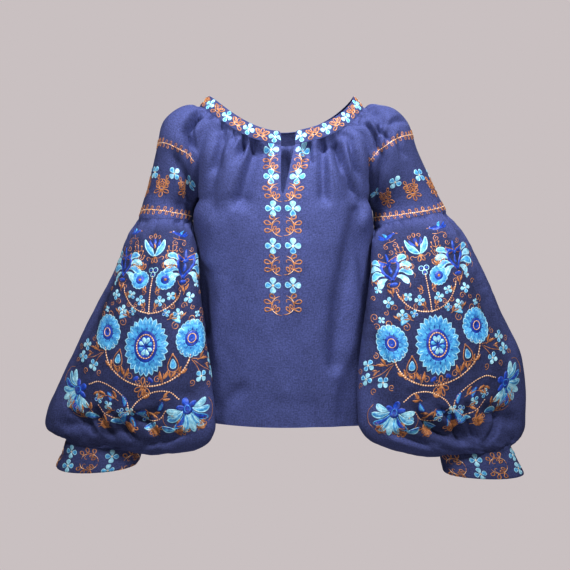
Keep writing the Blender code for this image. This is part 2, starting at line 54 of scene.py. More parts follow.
# powers of the cosine by which the neckband sinks towards the middle front and back
BAND_SAG, BAND_SAG_RIGHT, BAND_SAG_BACK = 2.3, 1.32, 1.75
RAGLAN_ANGLE = 50.0       # degrees on the neckband from its middle to a raglan seam
NECK_BLEND = 0.35         # level down to which the upper sleeve follows the neckband
SLIT_LEFT, SLIT_RIGHT = 0.0035, 0.0220
SLIT_LEVEL = 0.80         # level of the slit's foot
SLIT_POINT = 0.125        # share of the slit, from its foot, over which its left edge opens
SLIT_REACH, SLIT_EASE = 0.35, 1.5
BODY_ROUND, RING_ROUND = 2.35, 2.15         # 2 is an ellipse, and more is boxier
BODY_SIDE_Y = 0.010
PUFF_PLACE, PUFF_RADIUS, PUFF_PUSH = (0.158, -0.060, -0.195), 0.036, (0.013, -0.004, 0.0)


def in_mm(rows, lead=1, tail=0):
    """A table of millimetres as metres. Its first and last columns are no lengths and stay."""
    table = np.array(rows, float)
    table[:, lead:table.shape[1] - tail] *= MM
    return table


BODY_COLUMNS = (
    "level", "angle", "front_y", "front_z", "back_y", "back_z", "left_x", "left_z", "right_x", "right_z"
)
BODY = in_mm((
    (0, 50, -107, -82.5, 88, -69, -119, -32, 119, -32),
    (0.15, 53, -114, -99, 94, -85, -140, -45, 140, -45),
    (0.3, 57, -120, -118, 99, -103, -151, -63, 151, -63),
    (0.6, 65, -130, -157, 106, -142, -156, -130, 156, -130),
    (1, 90, -137, -206, 109, -196, -156, -185, 158, -185),
    (1.1, 90, -138, -235, 109, -227, -162, -207, 163, -207),
    (1.3, 90, -138, -290, 108, -285, -163, -265, 166, -265),
    (1.5, 90, -136, -370, 107, -365, -171, -350, 172, -351),
    (1.75, 90, -134, -480, 108, -478, -178, -468, 182, -474),
    (2, 90, -132, -592, 112, -590, -190, -580, 194, -590),
), 2, 0)
TOP_COLUMNS = ("level", "out_x", "out_y", "out_z", "in_x", "in_y", "in_z", "depth", "gap")
TOP_LEFT = in_mm((
    (0, -155, 0, -3.5, -80, -6, -48, 64, 92),
    (0.12, -168, 0, 4.5, -83, -6, -70, 70, 88),
    (0.3, -196, 0, -5, -106, -4, -100, 76, 80),
    (0.5, -223, 0, -30, -125, -2, -133, 79, 66),
    (0.75, -236, 0, -85, -143, 4, -167, 76, 40),
    (1, -252, 0, -155, -156, 10, -185, 69, 0),
    (1.25, -260, 0, -178, -164, 10, -191, 67, 0),
    (1.6, -265, 0, -198, -167, 8, -203, 66, 0),
    (2, -270, -2, -213.2, -168, 2, -216, 66, 0),
), 1, 1)
TOP_RIGHT = in_mm((
    (0, 155, 0, -3.5, 80, -6, -48, 64, 92),
    (0.12, 169, 0, 6.5, 83, -6, -70, 70, 88),
    (0.3, 204, 0, -4, 108, -4, -100, 76, 80),
    (0.5, 232, 0, -31, 127, -2, -133, 78, 66),
    (0.75, 251, 0, -86, 145, 4, -167, 72, 40),
    (1, 278, 0, -145, 158, 10, -185, 63, 0),
    (1.25, 288, 0, -166, 167, 10, -193, 60, 0),
    (1.6, 297, 0, -183, 169, 8, -210, 58, 0),
    (2, 305, -2, -198.5, 169, 0, -226, 57, 0),
), 1, 1)
LOW_COLUMNS = ("level", "out_x", "out_y", "out_z", "in_x", "in_y", "in_z", "depth", "rise")
LOW_LEFT = in_mm((
    (0, -270, -2, -213.2, -168, 2, -216, 66, 0),
    (0.06, -288, -10, -240, -162.5, -45, -242, 69, 0),
    (0.15, -306, -20, -290.6, -154, -82, -290.6, 69, 0),
    (0.28, -333, -30, -349.4, -149, -102, -349.4, 68, 0),
    (0.41, -361.5, -35, -407.7, -140.3, -118, -407.7, 68, 0),
    (0.54, -388.5, -40, -465.6, -132.6, -128, -465.6, 68, 0),
    (0.67, -416.5, -46, -523.4, -125.1, -134, -523.4, 67, 0),
    (0.77, -435, -52, -566.6, -121.3, -138, -570, 64, 0),
    (0.83, -440, -56, -590, -122, -139, -598, 58, 2),
    (0.88, -435, -62, -602, -136, -138, -619, 50, 4),
    (0.93, -419, -70, -609.5, -170, -130, -633, 41, 6),
    (0.97, -404, -76, -615, -222, -118, -637, 33, 7),
    (1, -394, -80, -619, -260, -106, -626, 28, 8),
))
LOW_RIGHT = in_mm((
    (0, 305, -2, -198.5, 169, 0, -226, 57, 0),
    (0.06, 330, -10, -232, 163.5, -45, -252, 64, 0),
    (0.15, 360, -20, -290.6, 161, -78, -298, 65, 0),
    (0.28, 387, -30, -349.4, 152.5, -102, -352, 65, 0),
    (0.41, 414, -35, -407.7, 144.1, -118, -409, 65, 0),
    (0.54, 440, -40, -465.6, 138.2, -128, -465.6, 65, 0),
    (0.67, 447, -46, -523.4, 134.3, -134, -523.4, 64, 0),
    (0.77, 446.5, -52, -570, 133.2, -138, -568, 62, 0),
    (0.83, 445, -56, -598, 137, -139, -592, 57, 2),
    (0.88, 440, -62, -611, 156, -138, -614, 50, 4),
    (0.93, 431, -70, -620, 200, -130, -633, 41, 6),
    (0.97, 421, -76, -626, 250, -118, -642, 33, 7),
    (1, 413.7, -80, -630, 283, -106, -631, 28, 8),
))
CUFF_LEFT = in_mm((
    (0, -394, -80, -619, -260, -106, -626, 28, 8),
    (0.3, -398.5, -82, -633.5, -257, -108, -635, 30, 10),
    (1, -411.5, -88, -664, -260, -112, -652, 30, 15),
))
CUFF_RIGHT = in_mm((
    (0, 413.7, -80, -630, 283, -106, -631, 28, 8),
    (0.3, 420, -82, -645, 284, -108, -644, 30, 9),
    (1, 436.5, -88, -678, 289, -112, -670, 30, 10),
))


def eased(stations, values, at):
    """A smooth curve through a column's values."""
    slopes = np.gradient(values, stations)
    at = np.clip(at, stations[0], stations[-1])
    piece = np.clip(np.searchsorted(stations, at, side="right") - 1, 0, len(stations) - 2)
    step = stations[piece + 1] - stations[piece]
    t = (at - stations[piece]) / step
    start = (1 + 2 * t) * (1 - t) ** 2 * values[piece] + t * (1 - t) ** 2 * step * slopes[piece]
    end = t * t * (3 - 2 * t) * values[piece + 1] + t * t * (t - 1) * step * slopes[piece + 1]
    return start + end


def read_table(table, names, at):
    return {name: eased(table[:, 0], table[:, place], at) for place, name in enumerate(names) if place}


def power(value, exponent):
    return np.sign(value) * np.abs(value) ** exponent


def smooth_step(t):
    t = np.clip(t, 0.0, 1.0)
    return t * t * (3 - 2 * t)


def slit_shift(across, level):
    """How far a point of the front is pushed aside by the open slit."""
    open_part = np.clip(1 - level / SLIT_LEVEL, 0.0, 1.0)
    near = np.clip(1 - np.abs(across) / SLIT_REACH, 0.0, 1.0) ** SLIT_EASE
    left = -SLIT_LEFT * np.minimum(open_part / SLIT_POINT, 1.0)
    return np.where(np.signbit(across), left, SLIT_RIGHT * open_part) * near


def sag_of(back, right):
    return np.where(back, BAND_SAG_BACK, np.where(right, BAND_SAG_RIGHT, BAND_SAG))


def neck_edge(angle, edge):
    """A point of the neckband's top or lower edge, at an angle in radians from the middle front."""
    c, s = np.cos(angle), np.sin(angle)
    ahead = c > 0
    across = np.degrees(np.arctan2(s, c)) / RAGLAN_ANGLE
    across = np.where((across == 0) & np.signbit(angle), -0.0, across)
    x = np.where(s > 0, edge["right"], edge["left"]) * s + slit_shift(across, 0.0)
    y = -np.where(ahead, edge["front"], edge["back"]) * c
    z = edge["z"] - np.where(ahead, edge["dip"], edge["rise"]) * np.abs(c) ** sag_of(~ahead, s > 0)
    return np.stack([x, y, z], axis=-1)


def ring(table, names, level, angle):
    """A point of a sleeve or cuff ring. Angle 0 faces the body, 90 the front, 180 is the outer side."""
    at = read_table(table, names, level)
    out, inner = (np.stack([at[end + axis] for axis in "xyz"], axis=-1) for end in ("out_", "in_"))
    none = 0 * at["depth"]
    back = np.stack([none, at["depth"], at.get("rise", none)], axis=-1)
    along = power(np.cos(angle), 2 / RING_ROUND)[..., None]
    ahead = power(np.sin(angle), 2 / RING_ROUND)[..., None]
    return (out + inner) / 2 + (inner - out) / 2 * along - back * ahead


def puffed(points):
    """The cloth stands out a little in front of each armpit."""
    mirror = np.where(points[..., :1] < 0, [-1.0, 1.0, 1.0], [1.0, 1.0, 1.0])
    away = np.sum((points * mirror - PUFF_PLACE) ** 2, axis=-1, keepdims=True)
    return points + mirror * PUFF_PUSH * np.exp(-away / PUFF_RADIUS ** 2)


def plain_sleeve_top(side, level, across):
    """Upper sleeve. across runs 0 to 1 from the front raglan seam over the arm to the back one."""
    table = TOP_LEFT if side < 0 else TOP_RIGHT
    level, across = np.broadcast_arrays(np.asarray(level, float), np.asarray(across, float))
    gap = np.radians(read_table(table, TOP_COLUMNS, level)["gap"])
    gap = np.where(level >= 1.0, 0.0, np.maximum(gap, 0.0))
    point = ring(table, TOP_COLUMNS, level, gap + across * (2 * math.pi - 2 * gap))
    gap = math.radians(table[0, -1])
    start = ring(table, TOP_COLUMNS, np.zeros_like(level), gap + across * (2 * math.pi - 2 * gap))
    first, last = math.radians(RAGLAN_ANGLE), math.radians(180 - RAGLAN_ANGLE)
    neck = neck_edge(side * (first + across * (last - first)), BAND_LOW)
    return point + (neck - start) * (1 - smooth_step(level / NECK_BLEND))[..., None]


def sleeve_top(side, level, across):
    return puffed(plain_sleeve_top(side, level, across))


def sleeve_low(side, level, angle):
    return puffed(ring(LOW_LEFT if side < 0 else LOW_RIGHT, LOW_COLUMNS, level, angle))


def cuff(side, level, angle):
    return ring(CUFF_LEFT if side < 0 else CUFF_RIGHT, LOW_COLUMNS, level, angle)


def body_side(side, level, face):
    """The edge of the front (face -1) or back (face 1) panel: the raglan seam, then the side seam."""
    level = np.asarray(level, float)
    seam = plain_sleeve_top(side, np.minimum(level, 1.0), np.full_like(level, 0.0 if face < 0 else 1.0))
    at = read_table(BODY, BODY_COLUMNS, level)
    name = "left" if side < 0 else "right"
    below = np.stack([at[name + "_x"], np.full_like(level, BODY_SIDE_Y), at[name + "_z"]], axis=-1)
    return np.where((level > 1.0)[..., None], below, seam)


def body(face, level, across):
    """Front (face -1) or back (face 1). across runs -1 to 1 from the viewer's left to right seam."""
    level, across = np.broadcast_arrays(np.asarray(level, float), np.asarray(across, float))
    at = read_table(BODY, BODY_COLUMNS, level)
    edge = np.where((across < 0)[..., None], body_side(-1, level, face), body_side(1, level, face))
    widest = np.radians(np.clip(at["angle"], 0.0, 90.0))
    angle = widest * across

    def share(exponent):
        """1 at the middle and 0 at the panel's edge."""
        here, end = (np.maximum(np.cos(a), 0.0) ** exponent for a in (angle, widest))
        return (here - end) / (1 - end)

    bulge = share(1 + (2 / BODY_ROUND - 1) * smooth_step(level))
    sag = share(sag_of(face > 0, across > 0))
    name = "front" if face < 0 else "back"
    x = edge[..., 0] * np.abs(np.sin(angle) / np.sin(widest))
    if face < 0:
        x = x + slit_shift(across, level)
    y = edge[..., 1] + (at[name + "_y"] - edge[..., 1]) * bulge
    z = edge[..., 2] + (at[name + "_z"] - edge[..., 2]) * sag
    return puffed(np.stack([x, y, z], axis=-1))


# ---------------------------------------------------------------- cloth grids

CLOTH = 0.0012            # thickness of the linen
BAND_CLOTH = 0.0026       # the neckband and cuffs are folded double
FRONT_ROWS, HALF_COLUMNS = 170, 120
TOP_ROWS, TOP_COLUMNS_ROUND = 90, 130
LOW_ROWS, LOW_COLUMNS_ROUND = 150, 200
CUFF_ROWS, CUFF_COLUMNS_ROUND = 22, 130
BAND_ROWS, BAND_ANGLES = 12, 400
BAND_CORNER = 0.007       # radius of the neckband's corners at the slit


def run_of(points, axis):
    """Arc length along an axis of a grid of points, from its first row or column."""
    steps = np.linalg.norm(np.diff(points, axis=axis), axis=-1)
    start = np.zeros_like(np.take(steps, [0], axis=axis))
    return np.concatenate([start, np.cumsum(steps, axis=axis)], axis=axis)


def even(place, first, last, count, keep=()):
    """Values from first to last that put place(value) at even distances, with the kept values among them."""
    fine = np.linspace(first, last, 3001)
    run = run_of(place(fine), 0)
    values = np.interp(np.linspace(0.0, run[-1], count), run, fine)
    values[0], values[-1] = first, last
    for value in keep:
        values[np.argmin(np.abs(values - value))] = value
    return values


def unit(vectors, least=1e-12):
    return vectors / np.maximum(np.linalg.norm(vectors, axis=-1, keepdims=True), least)


class Chart:
    """The outer side of a cut piece: a grid of points, row by row down from its seam and columns to the
    viewer's right, with the arc lengths s (to the right, from the zero column) and t (down). A split
    grid has two columns in one place, split and the next, which are sewn together from split_row down."""

    def __init__(self, base, zero, closed=False, split=None, split_row=0):
        self.base, self.closed, self.split, self.split_row = base, closed, split, split_row
        self.base_normal = self.normals_of(base)
        run, columns = run_of(base, 1), np.arange(base.shape[1])
        if split is None:
            low = int(zero)
            high, share = min(low + 1, len(columns) - 1), zero - low
            self.s = run - (run[:, low:low + 1] * (1 - share) + run[:, high:high + 1] * share)
        else:
            left, right = run - run[:, split:split + 1], run - run[:, split + 1:split + 2]
            self.s = np.where(columns[None, :] <= split, left, right)
        self.t = run_of(base, 0)

    def normals_of(self, points):
        down = np.gradient(points, axis=0)
        if self.closed:
            padded = np.concatenate([points[:, -2:-1], points, points[:, 1:2]], axis=1)
            over = np.gradient(padded, axis=1)[:, 1:-1]
            down[:, -1] = down[:, 0]
        elif self.split is not None:
            halves = points[:, :self.split + 1], points[:, self.split + 1:]
            over = np.concatenate([np.gradient(half, axis=1) for half in halves], axis=1)
        else:
            over = np.gradient(points, axis=1)
        normal = unit(np.cross(down, over))
        if self.split is not None:
            rows, a, b = slice(self.split_row, None), self.split, self.split + 1
            normal[rows, a] = normal[rows, b] = unit(normal[rows, a] + normal[rows, b])
        return normal

    def press(self, depth, backward=0.0):
        """Moves the cloth in by depth (out where it is negative), and by backward along +Y."""
        self.points = self.base - self.base_normal * depth[..., None]
        self.points = self.points + [0.0, 1.0, 0.0] * np.broadcast_to(backward, depth.shape)[..., None]
        self.normal = self.normals_of(self.points)
        return self

    def sample(self, grid, i, j, low, high):
        i0 = np.clip(np.floor(i).astype(int), 0, len(grid) - 2)
        j0 = np.clip(np.floor(j).astype(int), low, high - 1)
        u, v = i - i0, j - j0
        if grid.ndim == 3:
            u, v = u[..., None], v[..., None]
        upper = grid[i0, j0] * (1 - v) + grid[i0, j0 + 1] * v
        lower = grid[i0 + 1, j0] * (1 - v) + grid[i0 + 1, j0 + 1] * v
        return upper * (1 - u) + lower * u

    def locate(self, s, t):
        """Fractional rows and columns of places given by their arc lengths."""
        rows, columns = self.s.shape
        low, high = np.zeros(s.shape, int), np.full(s.shape, columns - 1)
        if self.split is not None:
            low = np.where(s < 0, 0, self.split + 1)
            high = np.where(s < 0, self.split, columns - 1)
        middle = int(np.argmin(np.abs(self.s[rows // 2])))
        i = np.interp(t, self.t[:, middle], np.arange(rows))
        j = np.interp(s, self.s[rows // 2], np.arange(columns))
        for _ in range(14):
            i, j = np.clip(i, 0, rows - 1), np.clip(j, low, high)
            i0 = np.clip(np.floor(i).astype(int), 0, rows - 2)
            j0 = np.clip(np.floor(j).astype(int), low, high - 1)
            found_s, found_t = (self.sample(grid, i, j, low, high) for grid in (self.s, self.t))
            i = i + (t - found_t) / np.maximum(self.t[i0 + 1, j0] - self.t[i0, j0], 1e-5)
            j = j + (s - found_s) / np.maximum(self.s[i0, j0 + 1] - self.s[i0, j0], 1e-5)
        return np.clip(i, 0, rows - 1), np.clip(j, low, high), low, high

    def place(self, s, t, height):
        where = self.locate(s, t)
        return self.sample(self.points, *where) + unit(self.sample(self.normal, *where)) * height[..., None]


def body_chart(face):
    """The front (face -1), which is split down to the foot of its slit, or the back (face 1)."""
    keep = (SLIT_LEVEL, 1.0) if face < 0 else (1.0,)
    level = even(lambda v: body(face, v, np.full_like(v, 0.3)), 0.0, 2.0, FRONT_ROWS, keep)
    half = even(lambda v: body(face, np.full_like(v, 1.1), v), 0.0, 1.0, HALF_COLUMNS)
    if face < 0:
        across = np.concatenate([np.copysign(half[::-1], -1.0), half])
        split = {"split": HALF_COLUMNS - 1, "split_row": int(np.argmin(np.abs(level - SLIT_LEVEL)))}
    else:
        across, split = np.concatenate([half[::-1], -half[1:]]), {}
    base = body(face, level[:, None], across[None, :])
    return Chart(base, HALF_COLUMNS - 1, **split), level, across


def top_chart(side):
    level = even(lambda v: sleeve_top(side, v, np.full_like(v, 0.5)), 0.0, 2.0, TOP_ROWS, keep=(1.0,))
    across = even(lambda v: sleeve_top(side, np.full_like(v, 1.1), v), 0.0, 1.0, TOP_COLUMNS_ROUND)
    across = across if side > 0 else across[::-1]
    base = sleeve_top(side, level[:, None], across[None, :])
    return Chart(base, np.interp(0.5, np.sort(across), np.arange(len(across)))), level, across


def tube_chart(surface, side, rows, columns, middle):
    """A closed tube. Its zero column is at the middle of the front."""
    level = even(lambda v: surface(side, v, np.full_like(v, math.pi / 2)), 0.0, 1.0, rows)
    angle = even(lambda v: surface(side, np.full_like(v, middle), v), 0.0, 2 * math.pi, columns)
    angle = angle if side > 0 else angle[::-1]
    base = surface(side, level[:, None], angle[None, :])
    quarter = math.pi / 2 if side > 0 else 2 * math.pi - math.pi / 2
    order = angle if side > 0 else 2 * math.pi - angle
    return Chart(base, np.interp(quarter, order, np.arange(columns)), closed=True), level


def band_chart():
    """The neckband, from the right edge of the slit round the back to the left edge. Its corners at
    the slit are rounded."""
    limit = 2 * math.pi
    angle = even(lambda v: neck_edge(v, BAND_LOW), 1e-9, limit - 1e-9, BAND_ANGLES)
    angle = np.where(angle > math.pi, angle - limit, angle)
    top, low = neck_edge(angle, BAND_TOP), neck_edge(angle, BAND_LOW)
    run = run_of(low, 0)
    corner = 1 - np.clip(np.minimum(run, run[-1] - run) / BAND_CORNER, 0, 1)
    cut = BAND_CORNER * (1 - np.sqrt(1 - corner ** 2)) / np.linalg.norm(low - top, axis=-1)
    down = np.linspace(0.0, 1.0, BAND_ROWS)[:, None]
    share = (cut + (1 - cut) * down)[..., None]
    return Chart(top * (1 - share) + low * share, 0), down


# ---------------------------------------------------------------- folds, gathers and creases

# A line seen from the front, in millimetres: x and z of its two ends, then the width and depth of the
# trough along it, or of a ridge where the depth is negative. A fold's last number says how much steeper
# its wall on the line's own right is, and a crease's how far the line bows to its own right.
FOLDS = {
    "body_front": (
        (-45, -66, -87, -192, 17.5, 18.5, 0.85), (-111, -56, -131, -130, 10, 11, 0.6),
        (-70, -64, -80, -106, 6.5, 6.5, 0.2), (52, -72, 40, -112, 6, 5, 0),
        (-84, -76, -112, -190, 13, -3, 0), (73, -62, 79, -186, 10.5, 14, -0.6),
        (94.5, -60, 134, -178, 11.5, 14.5, -0.6), (123, -66, 143, -138, 8, 9.5, -0.4),
        (140, -190, 103, -360, 16, 11, 0), (103, -360, 96, -490, 17, 12.5, 0),
        (-128, -215, -136, -310, 16, -4.5, 0), (-150, -300, -146, -430, 14, 8, 0),
        (-112, -320, -118, -480, 14, -3, 0), (-70, -518, -122, -566, 13, 5, 0),
        (30, -250, 20, -540, 45, -3, 0),
    ),
    "body_back": (
        (-50, -70, -75, -180, 13, 5, 0), (-10, -70, -15, -240, 13, 4.5, 0), (35, -70, 50, -170, 12, 5, 0),
        (85, -60, 118, -200, 13, 5, 0), (-90, -300, -110, -580, 24, 6, 0), (70, -320, 105, -580, 26, 6, 0),
    ),
    "top_left": (
        (-148, -6, -179, -52, 8.5, 14, 0.3), (-180, -52, -164, -106, 8, 13.5, 0.3),
        (-160, -104, -172, -190, 10, 8.5, 0), (-192, -90, -215, -190, 12, 4, 0),
    ),
    "top_right": (
        (158, -4, 184, -32, 9, 8, 0), (186, -30, 166, -98, 8.5, 12, -0.3),
        (199, -45, 180, -118, 8.5, 8.5, 0),
    ),
    "low_left": (
        (-178, -300, -170, -540, 17, 6, 0), (-235, -235, -255, -330, 13, 4.5, 0),
        (-215, -560, -300, -598, 13, 8, 0), (-330, -575, -400, -590, 11, 6, 0),
    ),
    "low_right": (
        (165, -430, 200, -590, 15, 7, 0), (235, -235, 225, -330, 13, 4.5, 0),
        (250, -585, 330, -612, 12, 8, 0), (360, -560, 425, -585, 13, 7, 0),
    ),
}
CREASES = {
    "body_front": (
        (-28, -88, -36, -128, 4.6, 2.4, 0), (34, -86, 40, -140, 5, 2.6, 2),
        (142, -230, 150, -360, 10, 2.6, 0), (-66, -70, -76, -100, 4, 3, 2),
        (-86, -64, -102, -94, 4.2, 3, -2), (-121, -100, -127, -185, 8, 2.2, 4),
        (49, -80, 52, -116, 4.2, 3, 0), (90, -62, 110, -125, 5, 3.6, -3), (128, -90, 146, -205, 9, 3, -4),
        (20, -380, 60, -600, 20, 2.6, 10), (132, -470, 110, -598, 15, 4, 6),
    ),
    "body_back": (
        (-70, -66, -96, -150, 6, 3.4, 3), (-30, -66, -38, -130, 5, 3, 0), (14, -66, 20, -165, 6, 3.4, -2),
        (62, -64, 86, -140, 5, 3.2, 2), (-20, -260, -50, -560, 20, 2.8, 8), (30, -300, 40, -590, 18, 3, -6),
    ),
    "top_left": (
        (-143, -8, -179, -60, 5.5, 3, 6), (-179, -58, -146, -98, 6, 3, 4),
        (-148, -98, -160, -200, 6, 3.5, 3), (-163, -26, -158, -84, 4.5, 3.6, 5),
        (-200, -104, -166, -176, 8, 3.4, -4),
    ),
    "top_right": (
        (150, -36, 176, -96, 5, 4.2, -4), (166, -30, 200, -72, 4.5, 3.4, 3),
        (196, -40, 236, -34, 6, 3.2, -6), (182, -110, 166, -186, 6, 3.6, 3), (214, -60, 222, -100, 6, 3, 4),
    ),
    "low_left": (
        (-176, -250, -196, -420, 9, 3, -8), (-300, -300, -352, -420, 12, 2.8, 8),
        (-270, -566, -222, -604, 6, 4.6, -6), (-300, -570, -262, -612, 5.5, 4.6, 6),
        (-336, -560, -306, -606, 6.5, 5, 5), (-380, -566, -340, -600, 6, 4, -4),
        (-240, -618, -180, -600, 7, 4, 4),
    ),
    "low_right": (
        (182, -250, 190, -410, 10, 3, 6), (320, -280, 372, -400, 12, 3, -8),
        (238, -560, 292, -606, 6, 4.6, 5), (280, -556, 316, -612, 6, 5, -6),
        (330, -552, 346, -612, 6, 4.6, 6), (392, -560, 366, -616, 6, 4.2, -6),
        (196, -600, 256, -622, 7, 4, -3),
    ),
}
FOLD_FADE, FOLD_GAIN, FOLD_STEEP = 0.03, 1.2, 0.6
CREASE_FADE = 0.5         # share of a crease's length over which it fades in and out
CREASE_GAIN, CREASE_LEAST = 2.5, 0.0046


def line_depth(lines, name, x, z):
    """The depth of a piece's folds or creases at places seen from the front."""
    total, is_fold = np.zeros_like(x), lines is FOLDS
    gain, least = (FOLD_GAIN, 0.0) if is_fold else (CREASE_GAIN, CREASE_LEAST)
    for *line, turned in lines[name]:
        x1, z1, x2, z2, width, depth = (value * MM for value in line)
        length = math.hypot(x2 - x1, z2 - z1)
        dx, dz = (x2 - x1) / length, (z2 - z1) / length
        along = (x - x1) * dx + (z - z1) * dz
        aside = (x - x1) * dz - (z - z1) * dx
        if not is_fold:
            aside = aside - turned * MM * np.sin(np.pi * np.clip(along / length, 0, 1))
        steep = FOLD_STEEP * turned if is_fold else 0.0
        step = FOLD_FADE if is_fold else length * CREASE_FADE
        ends = smooth_step((along + step / 2) / step) * smooth_step((length + step / 2 - along) / step)
        wide = max(width, least) * np.where(aside > 0, 1 - steep, 1 + steep)
        total += gain * depth * hill(aside, 0.0, wide) * ends
    return total


def hill(value, place, width):
    """1 at a place, falling softly to 0 on both sides of it."""
    return np.exp(-(((value - place) / width) ** 2))


def uneven(number, low, high, turn):
    """An uneven value for each number that is the same in each run: steps of the golden ratio."""
    return low + (high - low) * ((number * 0.618034 + turn) % 1.0)


def gathers(along, down, pitch, reach, depth, turn):
    """Soft uneven troughs running down from a gathered seam. along is measured on the seam."""
    total = np.zeros(np.broadcast(along, down).shape)
    for number in range(int(along.min() / pitch) - 1, int(along.max() / pitch) + 2):
        place = pitch * (number + uneven(number, -0.32, 0.32, turn))
        width = pitch * uneven(number, 0.22, 0.38, turn + 0.31)
        length = reach * uneven(number, 0.55, 1.45, turn + 0.73) ** 1.6
        strength = depth * uneven(number, 0.35, 1.0, turn + 0.17)
        lean = uneven(number, -0.10, 0.10, turn + 0.89)
        trough = hill(along, place + lean * down, width * (1 + 0.6 * down / length))
        total += strength * trough * hill(down, 0.0, length)
    return total * smooth_step(down / 0.004)


def hash_of(i, j, turn):
    """An uneven value from -1 to 1 for each whole i and j, the same in each run."""
    value = np.sin(i * 127.1 + j * 311.7 + turn * 74.7) * 43758.5453
    return 2 * (value - np.floor(value)) - 1


def hills(s, t, size, turn):
    """Smooth uneven hills and hollows of about a size."""
    u, v = s / size, t / size
    i, j = np.floor(u), np.floor(v)
    fu, fv = smooth_step(u - i), smooth_step(v - j)
    low, high = (hash_of(i, row, turn) * (1 - fu) + hash_of(i + 1, row, turn) * fu for row in (j, j + 1))
    return low * (1 - fv) + high * fv


def ripples(chart, height, turn):
    """The slight unevenness of cloth that hangs free, longer down the cloth than across it."""
    s, t = chart.s, chart.t
    total = 0.55 * hills(s, t * 0.4, 0.060, turn) + 0.30 * hills(s + 0.2 * t, t * 0.5, 0.034, turn + 3)
    return height * (total + 0.15 * hills(s - 0.3 * t, t * 0.7, 0.019, turn + 7))


def seam_dip(distance):
    return 0.0009 * hill(distance, 0.0, 0.0028)


# how far the cloth swells along the body's side, at its armpit and at the sleeve's underarm, so that
# the body and the sleeve meet to the eye
SIDE_PUFF, ARMPIT_PUFF, UNDERARM_PUFF = 0.0044, 0.0024, 0.0016
VALLEY = 0.0095           # depth of the fold in which the sleeve and the body meet


def edge_of(chart):
    """Distance from the nearer side edge of a piece."""
    return np.minimum(chart.s - chart.s[:, :1], chart.s[:, -1:] - chart.s)


def valley_of(chart, level, width):
    """How deep the raglan seam lies in its fold, at a level below the neckband."""
    share = smooth_step((level - 0.06) / 0.30) * smooth_step((1.12 - level) / 0.30)
    return VALLEY * share * hill(edge_of(chart), 0.0, width)


def neck_gathers(chart, turn):
    seam, down = chart.s[:1], chart.t
    return (gathers(seam, down, 0.0135, 0.028, 0.0085, turn)
            + gathers(seam, down, 0.0240, 0.055, 0.0110, turn + 0.44))


def facing(chart):
    """1 where the cloth faces the viewer or away, falling to 0 on the sides."""
    return smooth_step((np.abs(chart.base_normal[..., 1]) - 0.15) / 0.40)


def body_depth(chart, level, across, face):
    level, across = level[:, None], np.abs(across[None, :])
    x, y, z = np.moveaxis(chart.base, -1, 0)
    ahead = face == "front"
    share = smooth_step(level / 0.15) * smooth_step((1 - across) / 0.20)
    inside = smooth_step((1 - across) / 0.12)
    if ahead:
        share = share * np.where(level < SLIT_LEVEL, smooth_step(across / 0.20), 1.0)
        placket = smooth_step((across - 0.14) / 0.16)
        inside = inside * (placket + (1 - placket) * smooth_step((level - SLIT_LEVEL) / 0.35))
    depth = line_depth(FOLDS, "body_" + face, x, z) * share
    depth += line_depth(CREASES, "body_" + face, x, z) * smooth_step(level / 0.05) * inside
    depth += neck_gathers(chart, 0.13 if ahead else 0.51) * inside
    depth += ripples(chart, 0.0024, 1 if ahead else 2) * smooth_step(level / 0.4) * inside
    depth -= SIDE_PUFF * hill(z, -0.234, 0.040) * hill(y, -0.006, 0.034)
    depth -= ARMPIT_PUFF * hill(z, -0.198, 0.010) * hill(y, -0.002, 0.030)
    depth += seam_dip(edge_of(chart)) * smooth_step((level - 1.0) / 0.1)
    return depth, valley_of(chart, level, 0.0080) * (1 if ahead else -1)


def top_depth(chart, level, across, side):
    name = "top_left" if side < 0 else "top_right"
    level, from_seam = level[:, None], np.minimum(across, 1 - across)[None, :]
    x, y, z = np.moveaxis(chart.base, -1, 0)
    share = smooth_step(level / 0.12) * smooth_step((2 - level) / 0.40) * facing(chart)
    share = share * np.where(level < 1.2, smooth_step(from_seam / 0.10), 1.0)
    raglan = np.where(level < 1.1, smooth_step(from_seam / 0.07), 1.0)
    ends = smooth_step(level / 0.05) * smooth_step((2 - level) / 0.3) * raglan * facing(chart)
    depth = line_depth(FOLDS, name, x, z) * share + line_depth(CREASES, name, x, z) * ends
    depth += neck_gathers(chart, 0.27 if side < 0 else 0.66) * raglan
    depth += ripples(chart, 0.0026, 4 + side) * ends
    inner = smooth_step((level - 1.02) / 0.05) * (side * x < 0.185)
    depth -= UNDERARM_PUFF * inner * hill(z, -0.192, 0.008) * hill(y, 0.008, 0.020)
    depth += seam_dip(chart.t[-1:] - chart.t)
    return depth, valley_of(chart, level, 0.013) * np.where(y < 0, 1.0, -1.0)


def low_depth(chart, level, side):
    name, turn = ("low_left", 0.41) if side < 0 else ("low_right", 0.05)
    level = level[:, None]
    x, _, z = np.moveaxis(chart.base, -1, 0)
    share = smooth_step(level / 0.05) * smooth_step((1 - level) / 0.06)
    depth = (line_depth(FOLDS, name, x, z) + line_depth(CREASES, name, x, z)) * share * facing(chart)
    up = chart.t[-1:] - chart.t
    for seam, down, pitch, reach, deep, more in (
        (0, chart.t, 0.0125, 0.024, 0.0042, 0.0), (0, chart.t, 0.0330, 0.075, 0.0050, 0.5),
        (-1, up, 0.0115, 0.030, 0.0050, 0.37), (-1, up, 0.0300, 0.090, 0.0060, 0.2),
    ):
        depth += gathers(chart.s[seam][None], down, pitch, reach, deep, turn + more)
    depth += ripples(chart, 0.0034, turn * 9) * share
    pucker = hills(chart.s, chart.t, 0.0115, turn) + 0.5 * hills(chart.s, chart.t, 0.021, turn + 2)
    near = smooth_step(1.6 - np.abs(chart.s) / 0.13) * share
    return depth + 0.0011 * pucker * near + seam_dip(chart.t)


